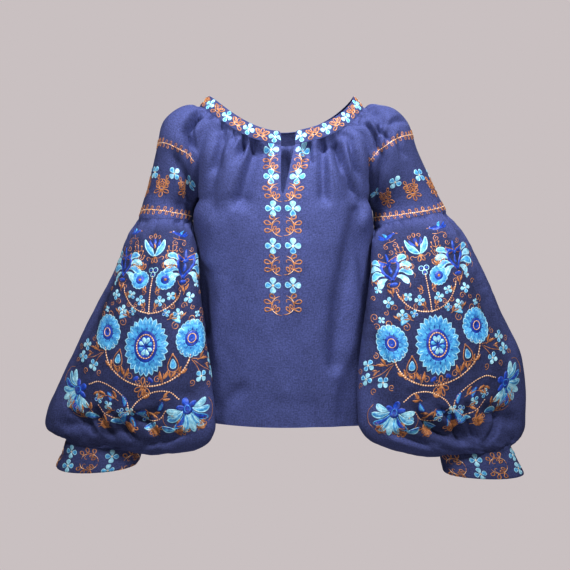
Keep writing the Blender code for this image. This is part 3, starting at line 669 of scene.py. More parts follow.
def cuff_depth(chart, level, side):
    wave = 0.0008 * np.sin(chart.s / 0.021 + side) * smooth_step(level[:, None] / 0.3)
    return wave - 0.0009 + 0.0009 * smooth_step((level[:, None] - 0.94) / 0.06)


def band_depth(chart, down):
    curve = 0.0012 * np.sqrt(np.clip(1 - (2 * down - 1) ** 2, 0, 1))
    return gathers(chart.s[-1:], chart.t[-1:] - chart.t, 0.0105, 0.016, 0.0009, 0.2) - curve - 0.0005


# ---------------------------------------------------------------- materials

class Nodes:
    """The node tree of a material or a world, with short ways to add nodes to it."""

    def __init__(self, owner):
        owner.use_nodes = True
        self.owner, self.nodes, self.links = owner, owner.node_tree.nodes, owner.node_tree.links

    def set(self, node, inputs):
        """Gives a node's inputs their values, or links from other nodes' outputs."""
        for name, value in inputs.items():
            if isinstance(value, bpy.types.NodeSocket):
                self.links.new(value, node.inputs[name])
            else:
                node.inputs[name].default_value = value
        return node

    def add(self, kind, inputs=None, **values):
        node = self.nodes.new("ShaderNode" + kind)
        for name, value in values.items():
            setattr(node, name, value)
        return self.set(node, inputs or {})

    def math(self, operation, *values):
        return self.add("Math", dict(enumerate(values)), operation=operation).outputs[0]

    def cloth_place(self, x, y):
        """Texture coordinates in metres on the cloth, times x across it and y down it."""
        source = self.add("UVMap", uv_map="cloth").outputs["UV"]
        return self.add("Mapping", {"Vector": source, "Scale": (x, y, 1.0)}).outputs["Vector"]

    def noise(self, place, scale, detail=2.0, roughness=0.5):
        inputs = {"Vector": place, "Scale": scale, "Detail": detail, "Roughness": roughness}
        return self.add("TexNoise", inputs).outputs["Fac"]

    def wave(self, axis, length):
        place = self.cloth_place(2 * math.pi / length, 2 * math.pi / length)
        return self.math("SINE", self.add("SeparateXYZ", {0: place}).outputs[axis])

    def ramp(self, share, stops):
        ramp = self.add("ValToRGB", {"Fac": share})
        for element, (position, colour) in zip(ramp.color_ramp.elements, stops):
            element.position, element.color = position, (*colour, 1)
        return ramp.outputs["Color"]

    def bump(self, height, strength, distance):
        inputs = {"Height": height, "Strength": strength, "Distance": distance}
        return self.add("Bump", inputs).outputs["Normal"]

    def for_camera(self, share, plain, seen):
        """A mix that shows the camera a share of what is only for it to see."""
        ray = self.add("LightPath").outputs["Is Camera Ray"]
        if share < 1:
            ray = self.math("MULTIPLY", ray, share)
        return self.add("MixShader", {"Fac": ray, 1: plain.outputs[0], 2: seen.outputs[0]}).outputs[0]


WEAVE = 0.0009            # length of a wave of the weave, which is two threads
PAINTED_SHADE_STRENGTH = 0.42       # painted shade: how much the cloth's colour is darkened where stitches crowd it, as if shadowed by them


def linen_material(name, base):
    """A closely woven linen: crossing threads with slubs, mottled, with a soft nap, and a painted shade that
    darkens its colour where stitches crowd it.
    """
    tree = Nodes(bpy.data.materials.new(name))
    warp, weft = (tree.noise(tree.cloth_place(*size), 1.0) for size in ((1500.0, 60.0), (60.0, 1500.0)))
    patch = tree.noise(tree.cloth_place(1.0, 1.0), 330.0, 3.0, 0.6)
    wide = tree.noise(tree.cloth_place(1.0, 1.0), 22.0)
    slub = tree.math("ADD", warp, weft)
    mixed = tree.math("MULTIPLY_ADD", patch, 1.6, tree.math("MULTIPLY_ADD", slub, 0.9, -1.2))
    mixed = tree.math("MULTIPLY_ADD", wide, 0.4, mixed)
    colour = tree.ramp(mixed, [(0.22, [0.58 * c for c in base]), (0.98, [1.42 * c for c in base])])
    # painted shade: the colour is darkened where stitches crowd the cloth, as if in their shadow
    painted_shade_mask = tree.add("Attribute", attribute_name="painted_shade_mask").outputs["Fac"]
    painted_shade = tree.math("MULTIPLY_ADD", painted_shade_mask, -PAINTED_SHADE_STRENGTH, 1.0)
    shaded = tree.add("VectorMath", {0: colour, "Scale": painted_shade}, operation="SCALE").outputs[0]
    cross = tree.math("MULTIPLY", tree.wave("X", WEAVE), tree.wave("Y", WEAVE))
    height = tree.math("MULTIPLY_ADD", cross, 0.25, slub)
    tree.set(tree.nodes["Principled BSDF"], {
        "Base Color": shaded, "Normal": tree.bump(height, 0.35, 0.0006), "Roughness": 0.80,
        "Specular IOR Level": 0.14, "Sheen Weight": 0.02, "Sheen Roughness": 0.45,
        "Sheen Tint": (0.62, 0.66, 1.0, 1),
    })
    return tree.owner


def thread_material(name, dark, light):
    """Stranded thread laid side by side, with a soft lustre."""
    tree = Nodes(bpy.data.materials.new(name))
    place = tree.add("TexCoord").outputs["Object"]
    strand, shade = tree.noise(place, 900.0), tree.noise(place, 160.0)
    mixed = tree.math("MULTIPLY_ADD", strand, 0.5, tree.math("MULTIPLY", shade, 0.7))
    tree.set(tree.nodes["Principled BSDF"], {
        "Base Color": tree.ramp(mixed, [(0.44, dark), (0.76, light)]), "Roughness": 0.42,
        "Sheen Weight": 0.1, "Normal": tree.bump(strand, 0.5, 0.0004),
    })
    return tree.owner


LINEN = linen_material("linen_indigo", (0.064, 0.078, 0.196))
THREADS = {
    "copper": thread_material("thread_copper", (0.185, 0.060, 0.023), (0.560, 0.275, 0.118)),
    "cream": thread_material("thread_cream", (0.560, 0.345, 0.230), (0.860, 0.690, 0.540)),
    "sky": thread_material("thread_sky", (0.020, 0.160, 0.440), (0.135, 0.480, 0.740)),
    "blue": thread_material("thread_blue", (0.006, 0.020, 0.190), (0.016, 0.100, 0.560)),
    "pale": thread_material("thread_pale", (0.130, 0.380, 0.560), (0.450, 0.690, 0.780)),
}


# ---------------------------------------------------------------- cloth pieces

def mesh_object(name, points, faces, material, uvs):
    mesh = bpy.data.meshes.new(name)
    mesh.from_pydata(points, [], faces)
    mesh.update()
    layer = mesh.uv_layers.new(name="cloth")
    layer.data.foreach_set("uv", np.asarray(uvs, np.float32).ravel())
    mesh.shade_smooth()
    mesh.materials.append(material)
    piece = bpy.data.objects.new(name, mesh)
    bpy.context.scene.collection.objects.link(piece)
    return piece


def corners_of(grid):
    """The four corner values of each cell of a grid."""
    return np.stack([grid[:-1, :-1], grid[1:, :-1], grid[1:, 1:], grid[:-1, 1:]], axis=2)


def shell(chart, name, thickness, painted_shade_mask):
    """The cloth of a chart: an outer and an inner side, and rims at its open edges. Its last argument is a
    painted shade, 1 where the embroidery crowds the cloth and its colour is darkened, and 0 where it is
    bare."""
    rows, columns = chart.s.shape
    index = np.arange(rows * columns).reshape(rows, columns)
    if chart.closed:
        index[:, -1] = index[:, 0]
    keep = np.ones(columns - 1, bool)
    if chart.split is not None:
        index[chart.split_row:, chart.split + 1] = index[chart.split_row:, chart.split]
        keep[chart.split] = False
    places = corners_of(np.stack([chart.s, -chart.t], axis=-1))[:, keep].reshape(-1, 4, 2)
    used, faces = np.unique(corners_of(index)[:, keep].reshape(-1, 4), return_inverse=True)
    faces, count = faces.reshape(-1, 4), len(used)
    outer = chart.points.reshape(-1, 3)[used]
    inner = outer - chart.normal.reshape(-1, 3)[used] * thickness
    ends, uv_ends = (np.concatenate([cells[:, [k, (k + 1) % 4]] for k in range(4)])
                     for cells in (faces, places))
    _, back, times = np.unique(np.sort(ends, axis=1), axis=0, return_inverse=True, return_counts=True)
    open_edge = times[back.reshape(-1)] == 1
    a, b = ends[open_edge].T
    rim = np.stack([b, a, a + count, b + count], axis=1)
    everything = np.concatenate([faces, faces[:, ::-1] + count, rim]).tolist()
    uvs = np.concatenate([places, places[:, ::-1], uv_ends[open_edge][:, [1, 0, 0, 1]]])
    piece = mesh_object(name + "_cloth", np.concatenate([outer, inner]), everything, LINEN, uvs)
    piece.data.set_sharp_from_angle(angle=math.radians(55))
    # the painted shade's mask is kept on the points, for the linen's colour to read
    painted_shade = piece.data.attributes.new("painted_shade_mask", "FLOAT", "POINT")
    painted_shade_mask = np.broadcast_to(painted_shade_mask, chart.s.shape).ravel()[used]
    painted_shade.data.foreach_set("value", np.tile(painted_shade_mask, 2).astype(np.float32))
    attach(piece, "root")
    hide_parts(name)
    return piece


charts = {}
for face, word in ((-1, "front"), (1, "back")):
    chart, level, across = body_chart(face)
    charts[word] = chart.press(*body_depth(chart, level, across, word))
chart, down = band_chart()
charts["neckband"] = chart.press(band_depth(chart, down))
for side, word in ((-1, "left"), (1, "right")):
    chart, level, across = top_chart(side)
    charts["sleeve_top_" + word] = chart.press(*top_depth(chart, level, across, side))
    chart, level = tube_chart(sleeve_low, side, LOW_ROWS, LOW_COLUMNS_ROUND, 0.54)
    charts["sleeve_low_" + word] = chart.press(low_depth(chart, level, side))
    chart, level = tube_chart(cuff, side, CUFF_ROWS, CUFF_COLUMNS_ROUND, 0.5)
    charts["cuff_" + word] = chart.press(cuff_depth(chart, level, side))


def painted_shade_where_crowded(name, chart):
    """A painted shade on the cloth of a piece: where the embroidery crowds it, its colour is darkened as if
    shadowed.
    """
    if name in ("front", "back"):
        return 0.0
    if name.startswith("cuff") or name == "neckband":
        return 0.5
    if name.startswith("sleeve_top"):
        up = chart.t[-1:] - chart.t
        return 0.5 * smooth_step(1.6 - np.abs(up - 0.085) / 0.05)
    wide = (chart.s + (0.010 if name.endswith("right") else -0.010)) / (0.112 + 0.12 * chart.t)
    tall = (chart.t - 0.225) / 0.205
    return smooth_step((1.15 - np.sqrt(wide ** 2 + tall ** 2)) / 0.25)


cloths, embroidery = {}, {name: [] for name in charts}
for name, chart in charts.items():
    double = name == "neckband" or name.startswith("cuff")
    cloths[name] = shell(chart, name, BAND_CLOTH if double else CLOTH, painted_shade_where_crowded(name, chart))


# ---------------------------------------------------------------- embroidery, laid out flat in millimetres

SINK = 0.30               # how far the edge of a stitch lies under the surface of the cloth
STITCH_STEP = 2.2         # length of a facet along a stitched line
CROSS_STEP = 2.4          # greatest width of a facet across it
FILLS = {"s": "sky", "p": "pale", "b": "blue"}
PROFILES = {
    "leaf": lambda u: np.sin(np.pi * u ** 0.9) ** 0.85,
    "drop": lambda u: np.sin(np.pi * u ** 1.7) ** 0.62,
    "bud": lambda u: np.sin(np.pi * u ** 0.62) ** 0.80,
    "oval": lambda u: np.sqrt(np.clip(1 - (2 * u - 1) ** 2, 0, 1)),
}


def evenly(path, step=STITCH_STEP):
    """A path's points at even distances."""
    run = run_of(path, 0)
    at = np.linspace(0.0, run[-1], max(3, int(math.ceil(run[-1] / step)) + 1))
    return np.stack([np.interp(at, run, path[:, axis]) for axis in range(2)], axis=-1)


def through(path):
    """A smooth path through a list of points. A path that is ready stays as it is."""
    if not isinstance(path, list):
        return path
    points = np.asarray(path, float)
    points = np.concatenate([2 * points[:1] - points[1:2], points, 2 * points[-1:] - points[-2:-1]])
    u = np.linspace(0.0, 1.0, 13)[:-1, None]
    parts = []
    for a, b, c, d in zip(points, points[1:], points[2:], points[3:]):
        parts.append(0.5 * (2 * b + (c - a) * u + (2 * a - 5 * b + 4 * c - d) * u ** 2
                            + (3 * b - a - 3 * c + d) * u ** 3))
    return evenly(np.concatenate([*parts, points[-2:-1]]))


def polar(radius, turn, centre=(0.0, 0.0)):
    turn = math.radians(turn)
    return np.array([centre[0] + radius * math.cos(turn), centre[1] + radius * math.sin(turn)])


def around(reach_x, reach_y, turn, centre=(0.0, 0.0)):
    return np.stack([centre[0] + reach_x * np.cos(turn), centre[1] + reach_y * np.sin(turn)], axis=-1)


def arc(radius_x, radius_y, start, end, centre=(0.0, 0.0), step=STITCH_STEP):
    """Part of an ellipse, from one angle to another in degrees (0 to the right, 90 up)."""
    return evenly(around(radius_x, radius_y, np.radians(np.linspace(start, end, 181)), centre), step)


def sides_of(path, closed=False):
    """Unit vectors to the left of a path."""
    way = np.roll(path, -1, axis=0) - np.roll(path, 1, axis=0) if closed else np.gradient(path, axis=0)
    way = unit(way, 1e-9)
    return np.stack([-way[:, 1], way[:, 0]], axis=-1)


class Design:
    """Stitches by thread. Each mesh is rows of x (right), y (up), height, and the place along and
    across its stitches, all in millimetres, with quads that face up. A closed path is a ring."""

    def __init__(self):
        self.meshes = {}

    def put(self, thread, points, faces):
        self.meshes.setdefault(thread, []).append((np.asarray(points, float), np.asarray(faces, int)))

    def strip(self, thread, left, right, crown=0.9, closed=False, lift=0.0):
        """Satin stitches from a left to a right edge."""
        if closed:
            left, right = np.concatenate([left, left[:1]]), np.concatenate([right, right[:1]])
        width = np.linalg.norm(right - left, axis=-1)
        cells = max(2, int(math.ceil(width.max() / CROSS_STEP)))
        u = np.linspace(0.0, 1.0, cells + 1)
        place = left[:, None] * (1 - u[:, None]) + right[:, None] * u[:, None]
        dome = PROFILES["oval"](u) ** 0.8
        height = (crown * np.minimum(1.0, width / 1.2))[:, None] * dome + lift - SINK
        along = np.broadcast_to(run_of((left + right) / 2, 0)[:, None], height.shape)
        rest = np.stack([height, along, width[:, None] * u], axis=-1)
        index = np.arange(height.size).reshape(height.shape)
        faces = np.stack([index[:-1, :-1], index[:-1, 1:], index[1:, 1:], index[1:, :-1]], axis=-1)
        self.put(thread, np.concatenate([place, rest], axis=-1).reshape(-1, 5), faces.reshape(-1, 4))

    def stroke(self, thread, path, width=2.0, crown=0.9, closed=False, taper=0.0, lift=0.0):
        """A stitched line. taper is the share of it that narrows towards each end."""
        path = through(path)
        half = np.full((len(path), 1), width / 2)
        if taper:
            share = np.linspace(0.0, 1.0, len(path))[:, None]
            half = half * np.clip(np.minimum(share, 1 - share) / taper, 0.25, 1.0)
        side = sides_of(path, closed) * half
        self.strip(thread, path + side, path - side, crown, closed, lift)

    def curl(self, x, y, radius, start, turns, width=2.0):
        """A copper line that winds in to a centre. Turns are positive anticlockwise."""
        share = np.linspace(0.0, 1.0, 121)
        reach = radius * (1 - 0.82 * share)
        turn = math.radians(start) + 2 * math.pi * turns * share
        self.stroke("copper", evenly(around(reach, reach, turn, (x, y)), 1.8), width)

    def leaf(self, thread, base, tip, width, shape="leaf", bend=0.0, crown=0.9, lift=0.0, count=9):
        """A filled leaf or petal."""
        self.strip(thread, *self.edges(base, tip, width, shape, bend, count), crown, lift=lift)

    def loop(self, thread, base, tip, width, line=1.7, shape="drop", bend=0.0, lift=0.35):
        """The outline of a leaf or petal."""
        left, right = self.edges(base, tip, width, shape, bend, 13)
        self.stroke(thread, evenly(np.concatenate([left, right[::-1][1:]]), 1.9), line, lift=lift)

    def petal(self, fill, edge, base, tip, width, line, shape="drop", bend=0.0, crown=0.9, lift=0.35):
        """A filled leaf or petal with its outline."""
        self.leaf(fill, base, tip, width, shape, bend, crown)
        self.loop(edge, base, tip, width, line, shape, bend, lift)

    @staticmethod
    def edges(base, tip, width, shape, bend, count):
        base, way = np.asarray(base, float), np.subtract(tip, base)
        u = np.linspace(0.0, 1.0, count)
        aside = np.array([-way[1], way[0]])
        path = base + way * u[:, None] + aside * (bend * 4 * u * (1 - u))[:, None]
        side = sides_of(path) * (width / 2 * PROFILES[shape](u))[:, None]
        return path + side, path - side

    def beads(self, thread, centres, radius=1.6, height=1.1, lift=0.3):
        """Small round knots."""
        for x, y in centres:
            rim = around(radius, radius, np.radians(np.arange(0, 360, 60)), (x, y))
            points = [[*place, lift - SINK, 0.0, 0.0] for place in rim]
            points.append([x, y, lift + height - SINK, 0.0, radius])
            self.put(thread, points, [[k, (k + 1) % 6, 6, 6] for k in range(6)])

    def add(self, other, x=0.0, y=0.0, turn=0.0, scale=(1.0, 1.0), flip=False):
        """Lays another design on this one, turned anticlockwise by degrees."""
        c, s = math.cos(math.radians(turn)), math.sin(math.radians(turn))
        for thread, found in other.meshes.items():
            for points, faces in found:
                moved = points.copy()
                px, py = points[:, 0] * scale[0] * (-1 if flip else 1), points[:, 1] * scale[1]
                moved[:, 0], moved[:, 1] = x + c * px - s * py, y + s * px + c * py
                self.put(thread, moved, faces[:, ::-1] if flip else faces)

    def add_both(self, half):
        """Lays the right half of a design on this one, and its mirror image on the left."""
        self.add(half)
        self.add(half, flip=True)


def flower(size, fills, start=90):
    """A four-petal flower. fills has a letter for each petal's thread."""
    design = Design()
    for number, fill in enumerate(fills):
        turn = start - 90.0 * number
        base, tip = polar(size * 0.07, turn), polar(size * 0.49, turn)
        design.petal(FILLS[fill], "pale", base, tip, size * 0.34, size * 0.062 + 0.2, crown=0.8)
    design.beads("cream", [(0, 0)], size * 0.085, 1.2)
    return design


def wreath(line):
    """A wreath, 68 by 39, with three loops outside it and leaves inside on either side."""
    half, design = Design(), Design()
    half.stroke("copper", arc(20.5, 17.5, -88, 76), line, taper=0.06)
    for *base, x, y in ((13.5, 13, 23.5, 19.5), (19.8, 4.5, 33.5, 8), (19.5, -7, 33, -7.5)):
        half.loop("copper", base, (x, y), 7, line)
    half.stroke("copper", [(20, -1), (17, 7), (10.5, 10.5), (5.5, 8), (7.5, 5)], line)
    half.loop("copper", (13, -12.5), (6.5, -3.5), 5.5, line)
    half.loop("copper", (18, -8), (13, 1), 4.5, line * 0.9)
    for start, end in ((-62, -20), (22, 58)):
        half.stroke("cream", arc(20.5, 17.5, start, end), line * 0.55, lift=0.5)
    design.add_both(half)
    return design


def leaf_cluster():
    """A fan of copper leaves on a bowed stem, for the neckband. It is 30 wide and 22 high."""
    half, design = Design(), Design()
    design.stroke("copper", [(-13, 6), (-8, -2), (0, -5.5), (8, -2), (13, 6)], 2.1)
    design.stroke("cream", [(-7, -2.6), (0, -5.5), (7, -2.6)], 1, lift=0.6)
    for turn, reach in ((38, 17), (90, 14.5), (142, 17)):
        design.loop("copper", polar(2.5, turn, (0, -4)), polar(reach, turn, (0, -4)), 6.2, 1.9)
    half.loop("copper", (2, -5.5), (13, -10.5), 5.6, 1.9)
    half.curl(6.5, 5.5, 4, 200, 1, 1.8)
    design.add_both(half)
    return design


def chain(path):
    """A copper cord set with cream knots, with small loops on either side in turn."""
    design, path = Design(), evenly(through(path), 1.9)
    run, side = run_of(path, 0), sides_of(path)
    design.stroke("copper", path, 2.6)

    def at(distance, grid=path):
        return np.array([np.interp(distance, run, grid[:, axis]) for axis in range(2)])

    design.beads("cream", [at(distance) for distance in np.arange(1.5, run[-1], 3.9)], 1.35, 1, 0.7)
    for number, distance in enumerate(np.arange(5, run[-1] - 3, 6.25)):
        place, out = at(distance), at(distance, side) * (1 if number % 2 else -1)
        forward = at(min(distance + 4, run[-1])) - place
        length = 8.5 * uneven(number, 0.75, 1.15, 0.3)
        design.loop("copper", place, place + out * length + forward * 0.5, 4.6, 1.6)
    return design


def spray(length):
    """A bent stem upwards with two leaves on both sides and one at its tip."""
    design = Design()
    design.stroke("copper", [(0, 0), (1.2, length * 0.5), (0, length)], 2.1)
    for number in range(2):
        y = length * (number + 0.55) / 2.4
        for sign in (-1, 1):
            design.loop("copper", (0.8, y), (sign * 7.5, y + 6.2), 4.8, 1.89, bend=0.10 * sign)
    design.loop("copper", (0, length), (0, length + 10), 4.8, 1.89)
    return design


def rim_of(radius_x, radius_y, teeth, pointed, depth):
    """The outline of a round flower with pointed teeth or scallops, and the directions to it."""
    turn = np.linspace(0, 2 * math.pi, teeth * 6 + 1)[:-1]
    phase = (turn * teeth / (2 * math.pi)) % 1.0
    notch = np.abs(2 * phase - 1) if pointed else 1 - PROFILES["oval"](phase)
    way = around(radius_x, radius_y, turn)
    return way, way * (1 - depth * notch)[:, None]


def rosette(radius_x, radius_y, teeth, big):
    """A round flower: a satin ring and a blue middle. A big one has a toothed rim and holds a beaded
    ring and eight petals. The others have a scalloped rim and hold a plain ring."""
    design = Design()
    size = np.array([radius_x, radius_y])
    way, rim = rim_of(radius_x, radius_y, teeth, big, 0.13 if big else 0.09)
    inner = 0.53 if big else 0.42
    design.strip("sky", rim, way * (inner - 0.02), closed=True)
    for number in range(teeth * 2):
        at = polar(1, 180.0 * (number + uneven(number, -0.3, 0.3, 0.2)) / teeth) * size
        fill, base, tip = "pale", 0.90, uneven(number, 0.66, 0.80, 0.6)
        if number % 3 == 0:
            fill, base, tip = "blue", inner + 0.16, inner
        design.leaf(fill, at * base, at * tip, 1.9, crown=0.5, lift=0.75)
    design.stroke("pale", rim, 1.9, closed=True, lift=0.35)
    design.strip("blue", way * inner, way * 0.03, 1, closed=True, lift=0.25)
    ring = 0.40 if big else 0.24
    path = arc(radius_x * ring, radius_y * ring, 0, 360)[:-1]
    design.stroke("copper", path, 3.0 if big else 2.8, closed=True, lift=1)
    if big:
        design.beads("cream", arc(radius_x * ring, radius_y * ring, 0, 360, step=5)[:-1], 1.35, 0.9, 1.8)
        for number in range(8):
            at = polar(1, 22.5 + 45 * number) * size
            fill = "sky" if number % 4 == 3 else "pale"
            design.leaf(fill, at * 0.08, at * 0.335, radius_x * 0.185, "drop", crown=1, lift=1.2)
    else:
        design.stroke("cream", path, 1, closed=True, lift=1.6)
    return design


def small_rosette():
    design = Design()
    way, rim = rim_of(18, 18, 16, False, 0.11)
    design.strip("sky", rim, way * 0.40, closed=True)
    design.stroke("pale", rim, 1.7, closed=True, lift=0.35)
    design.strip("blue", way * 0.46, way * 0.03, 1, closed=True, lift=0.25)
    design.beads("copper", [(0, 0)], 2.88, 1.2, 1.3)
    return design


def tulip():
    """Two long outlined leaves, a blue crown between them and curls above and below."""
    half, design = Design(), Design()
    half.petal("sky", "pale", (0.6, -16), (20, 17), 9.5, 2.3, "leaf", -0.10)
    half.leaf("pale", (0.5, -15), (10, 9), 4.6, bend=-0.04, lift=0.2)
    half.leaf("blue", (1.5, 1), (10.5, 19), 8, bend=-0.18, crown=1.3)
    half.curl(8, 25, 5, -90, 1.1)
    half.stroke("copper", [(0, -17), (8, -21), (15, -17), (19, -20), (16, -24)])
    half.loop("copper", (0, -18), (5.5, -30), 5.5, 1.9)
    design.add_both(half)
    design.leaf("blue", (0, 4), (0, 23), 8, crown=1.5)
    design.loop("copper", (0, 21), (0, 32), 5.5, 1.9)
    design.leaf("copper", (0, -1), (0, 13), 4.6, "oval", crown=1.4, lift=0.6)
    design.beads("cream", [(0, 6.5)], 1.3, 0.9, 1.7)
    return design


def heart_flower():
    """A blue heart with a crown of leaves and four pale rays on each side. It is 84 wide."""
    half, design = Design(), Design()
    half.stroke("blue", [(0, -22), (11, -9), (18, 4), (15.5, 13.5), (8, 15.5), (0, 9)], 6.4, 1.5, lift=0.4)
    half.stroke("copper", [(0, -26.5), (14, -11), (22, 4), (19, 15.5)], 1.3, taper=0.2)
    for fill, base, (x, y), bend, wide in (
        ("sky", (17, 9), (39, 20), 0.20, 9.5), ("pale", (19, 1), (43.5, 2), 0.22, 10.5),
        ("sky", (15, -8), (40, -17), 0.24, 11.5), ("pale", (9, -16), (27, -33), 0.24, 10.5),
    ):
        half.petal(fill, "pale", base, (x, y), wide, 2.5, bend=bend, crown=1.1)
        half.stroke("copper", [(x + 1.5, y + 4), (x + 4.5, y - 2), (x + 1, y - 8)], 1.6)
    half.petal("blue", "copper", (3, 17), (20, 24), 10, 1.5, "leaf", -0.30, 1.4, 0.9)
    half.curl(13, 33, 6, 200, 1.2)
    design.add_both(half)
    design.leaf("blue", (0, -10), (0, 9), 8, "bud", crown=1.4, lift=0.2)
    design.leaf("blue", (0, 13), (0, 35), 8, crown=1.6)
    design.leaf("blue", (-9, -30), (9, -30), 8, "oval", crown=1.3)
    design.stroke("copper", [(-13, -28), (-8, -35), (0, -37.5), (8, -35), (13, -28)])
    return design


def bird():
    """A small bird looking right, on a copper twig."""
    half, design = Design(), Design()
    design.leaf("blue", (-6, -3), (11, 4), 9.5, "oval", 0.10, 1.3)
    design.leaf("blue", (-4, 0), (-17, 11), 6.5, "leaf", 0.12, 1.2)
    design.leaf("blue", (-5, -2), (-20, 3), 5, "leaf", 0.10, 1.1)
    design.leaf("sky", (-2, 0), (-8, 13), 6, "leaf", -0.15, 1.1, 0.4)
    design.beads("blue", [(12, 6.5)], 3.4, 1.8, 0.2)
    design.leaf("copper", (14.5, 7), (20, 6), 2.6)
    design.beads("cream", [(12.8, 7.2)], 0.9, 0.6, 1.9)
    design.stroke("copper", [(-12, -12), (-4, -9), (4, -10), (12, -7)], 1.8)
    design.stroke("copper", [(2, -3), (2.5, -9)], 1.4)
    half.curl(8, -17, 5.5, 90, -1.3, 1.8)
    design.add_both(half)
    return design


def three_loops():
    """Three ringed knots."""
    design = Design()
    for turn in (30, 150, 270):
        centre = polar(5.75, turn)
        design.stroke("pale", arc(4.6, 4.6, 0, 360, centre, 1.8)[:-1], 2.3, closed=True)
        design.beads("blue", [centre], 2.53, 0.8, 0.2)
    design.beads("cream", [(0, 0)], 1.4, 1.2, 0.5)
    return design


def bud(height):
    """A teardrop bud in a copper loop."""
    design = Design()
    design.loop("copper", (0, -height * 0.5), (0, height * 0.5), height * 0.62, 1.9, "bud")
    base, tip = (0, -height * 0.30), (0, height * 0.26)
    design.petal("sky", "pale", base, tip, height * 0.34, 1.5, "bud", crown=1.1, lift=0.6)
    design.beads("copper", [(0, height * 0.52)], 2.2, 1.3, 0.4)
    return design


def fan_flower():
    """A blue calyx of round lobes with a fan of long curved petals that opens downwards."""
    half, design = Design(), Design()
    for number in range(9):
        turn = -100 + 25 * number
        reach = 44 - 0.0006 * turn * turn * (1 if number % 2 else 1.3)
        base, tip = polar(9, turn - 90), polar(reach, turn - 90)
        bend = (0.16 if turn < 0 else -0.16) * min(1, abs(turn) / 40)
        fill, edge, wide, line = ("sky" if number % 2 else "pale"), "pale", 9.4, 2.4
        if number % 4 == 2:
            fill, edge, wide, line = "blue", "sky", 9, 2.0
        design.petal(fill, edge, base, tip, wide, line, bend=bend, crown=1.1)
        if number % 2:
            base, tip = polar(16, turn - 90), polar(reach - 5, turn - 90)
            design.leaf("pale", base, tip, 2.6, "leaf", bend, 0.6, 0.9)
    half.leaf("blue", (3, 2), (18, 8), 11, "oval", -0.10, 1.6, 0.2)
    half.stroke("copper", [polar(42, 6), polar(48, -12), polar(49, -34), polar(46, -50)], 1.7)
    design.add_both(half)
    design.leaf("blue", (0, 3), (0, 20), 13, "oval", crown=1.7, lift=0.1)
    design.leaf("blue", (0, -12), (0, 10), 19, "bud", crown=2, lift=0.3)
    design.stroke("sky", arc(5, 6, -60, 240, (0, -1)), 1.2, 0.5, lift=2)
    return design


def corner_leaf(length):
    """A pair of filled leaves on a short stalk."""
    design = Design()
    design.stroke("copper", [(0, 0), (1, length * 0.4), (0, length * 0.75)])
    for low, x, y, bend in ((0.25, -0.28, 0.9, 0.1), (0.35, 0.26, 1, -0.1)):
        design.leaf("copper", (0, length * low), (length * x, length * y), length * 0.27, "leaf", bend, 1.2)
    return design


def sprig():
    """A copper fern, 44 high, with knots at the tips of its twigs and leaves at its foot."""
    half, design = Design(), Design()
    design.stroke("copper", [(0, 0), (1.5, 22), (0, 44)])
    ends = [(0, 44)]
    for number in range(3):
        y = 44 * (0.34 + 0.2 * number)
        for sign in (-1, 1):
            ends.append((sign * (10.5 - 1.5 * number), y + 10))
            design.stroke("copper", [(0.8, y), (sign * 6, y + 3), ends[-1]], 1.9)
    design.beads("copper", ends, 2.1, 1.3, 0.2)
    half.loop("copper", (0, 0), (12, 10), 6.5, 2, "leaf", -0.2)
    half.loop("copper", (0, 0), (6, 13), 5.5, 1.9, "leaf", -0.1)
    design.add_both(half)
    return design


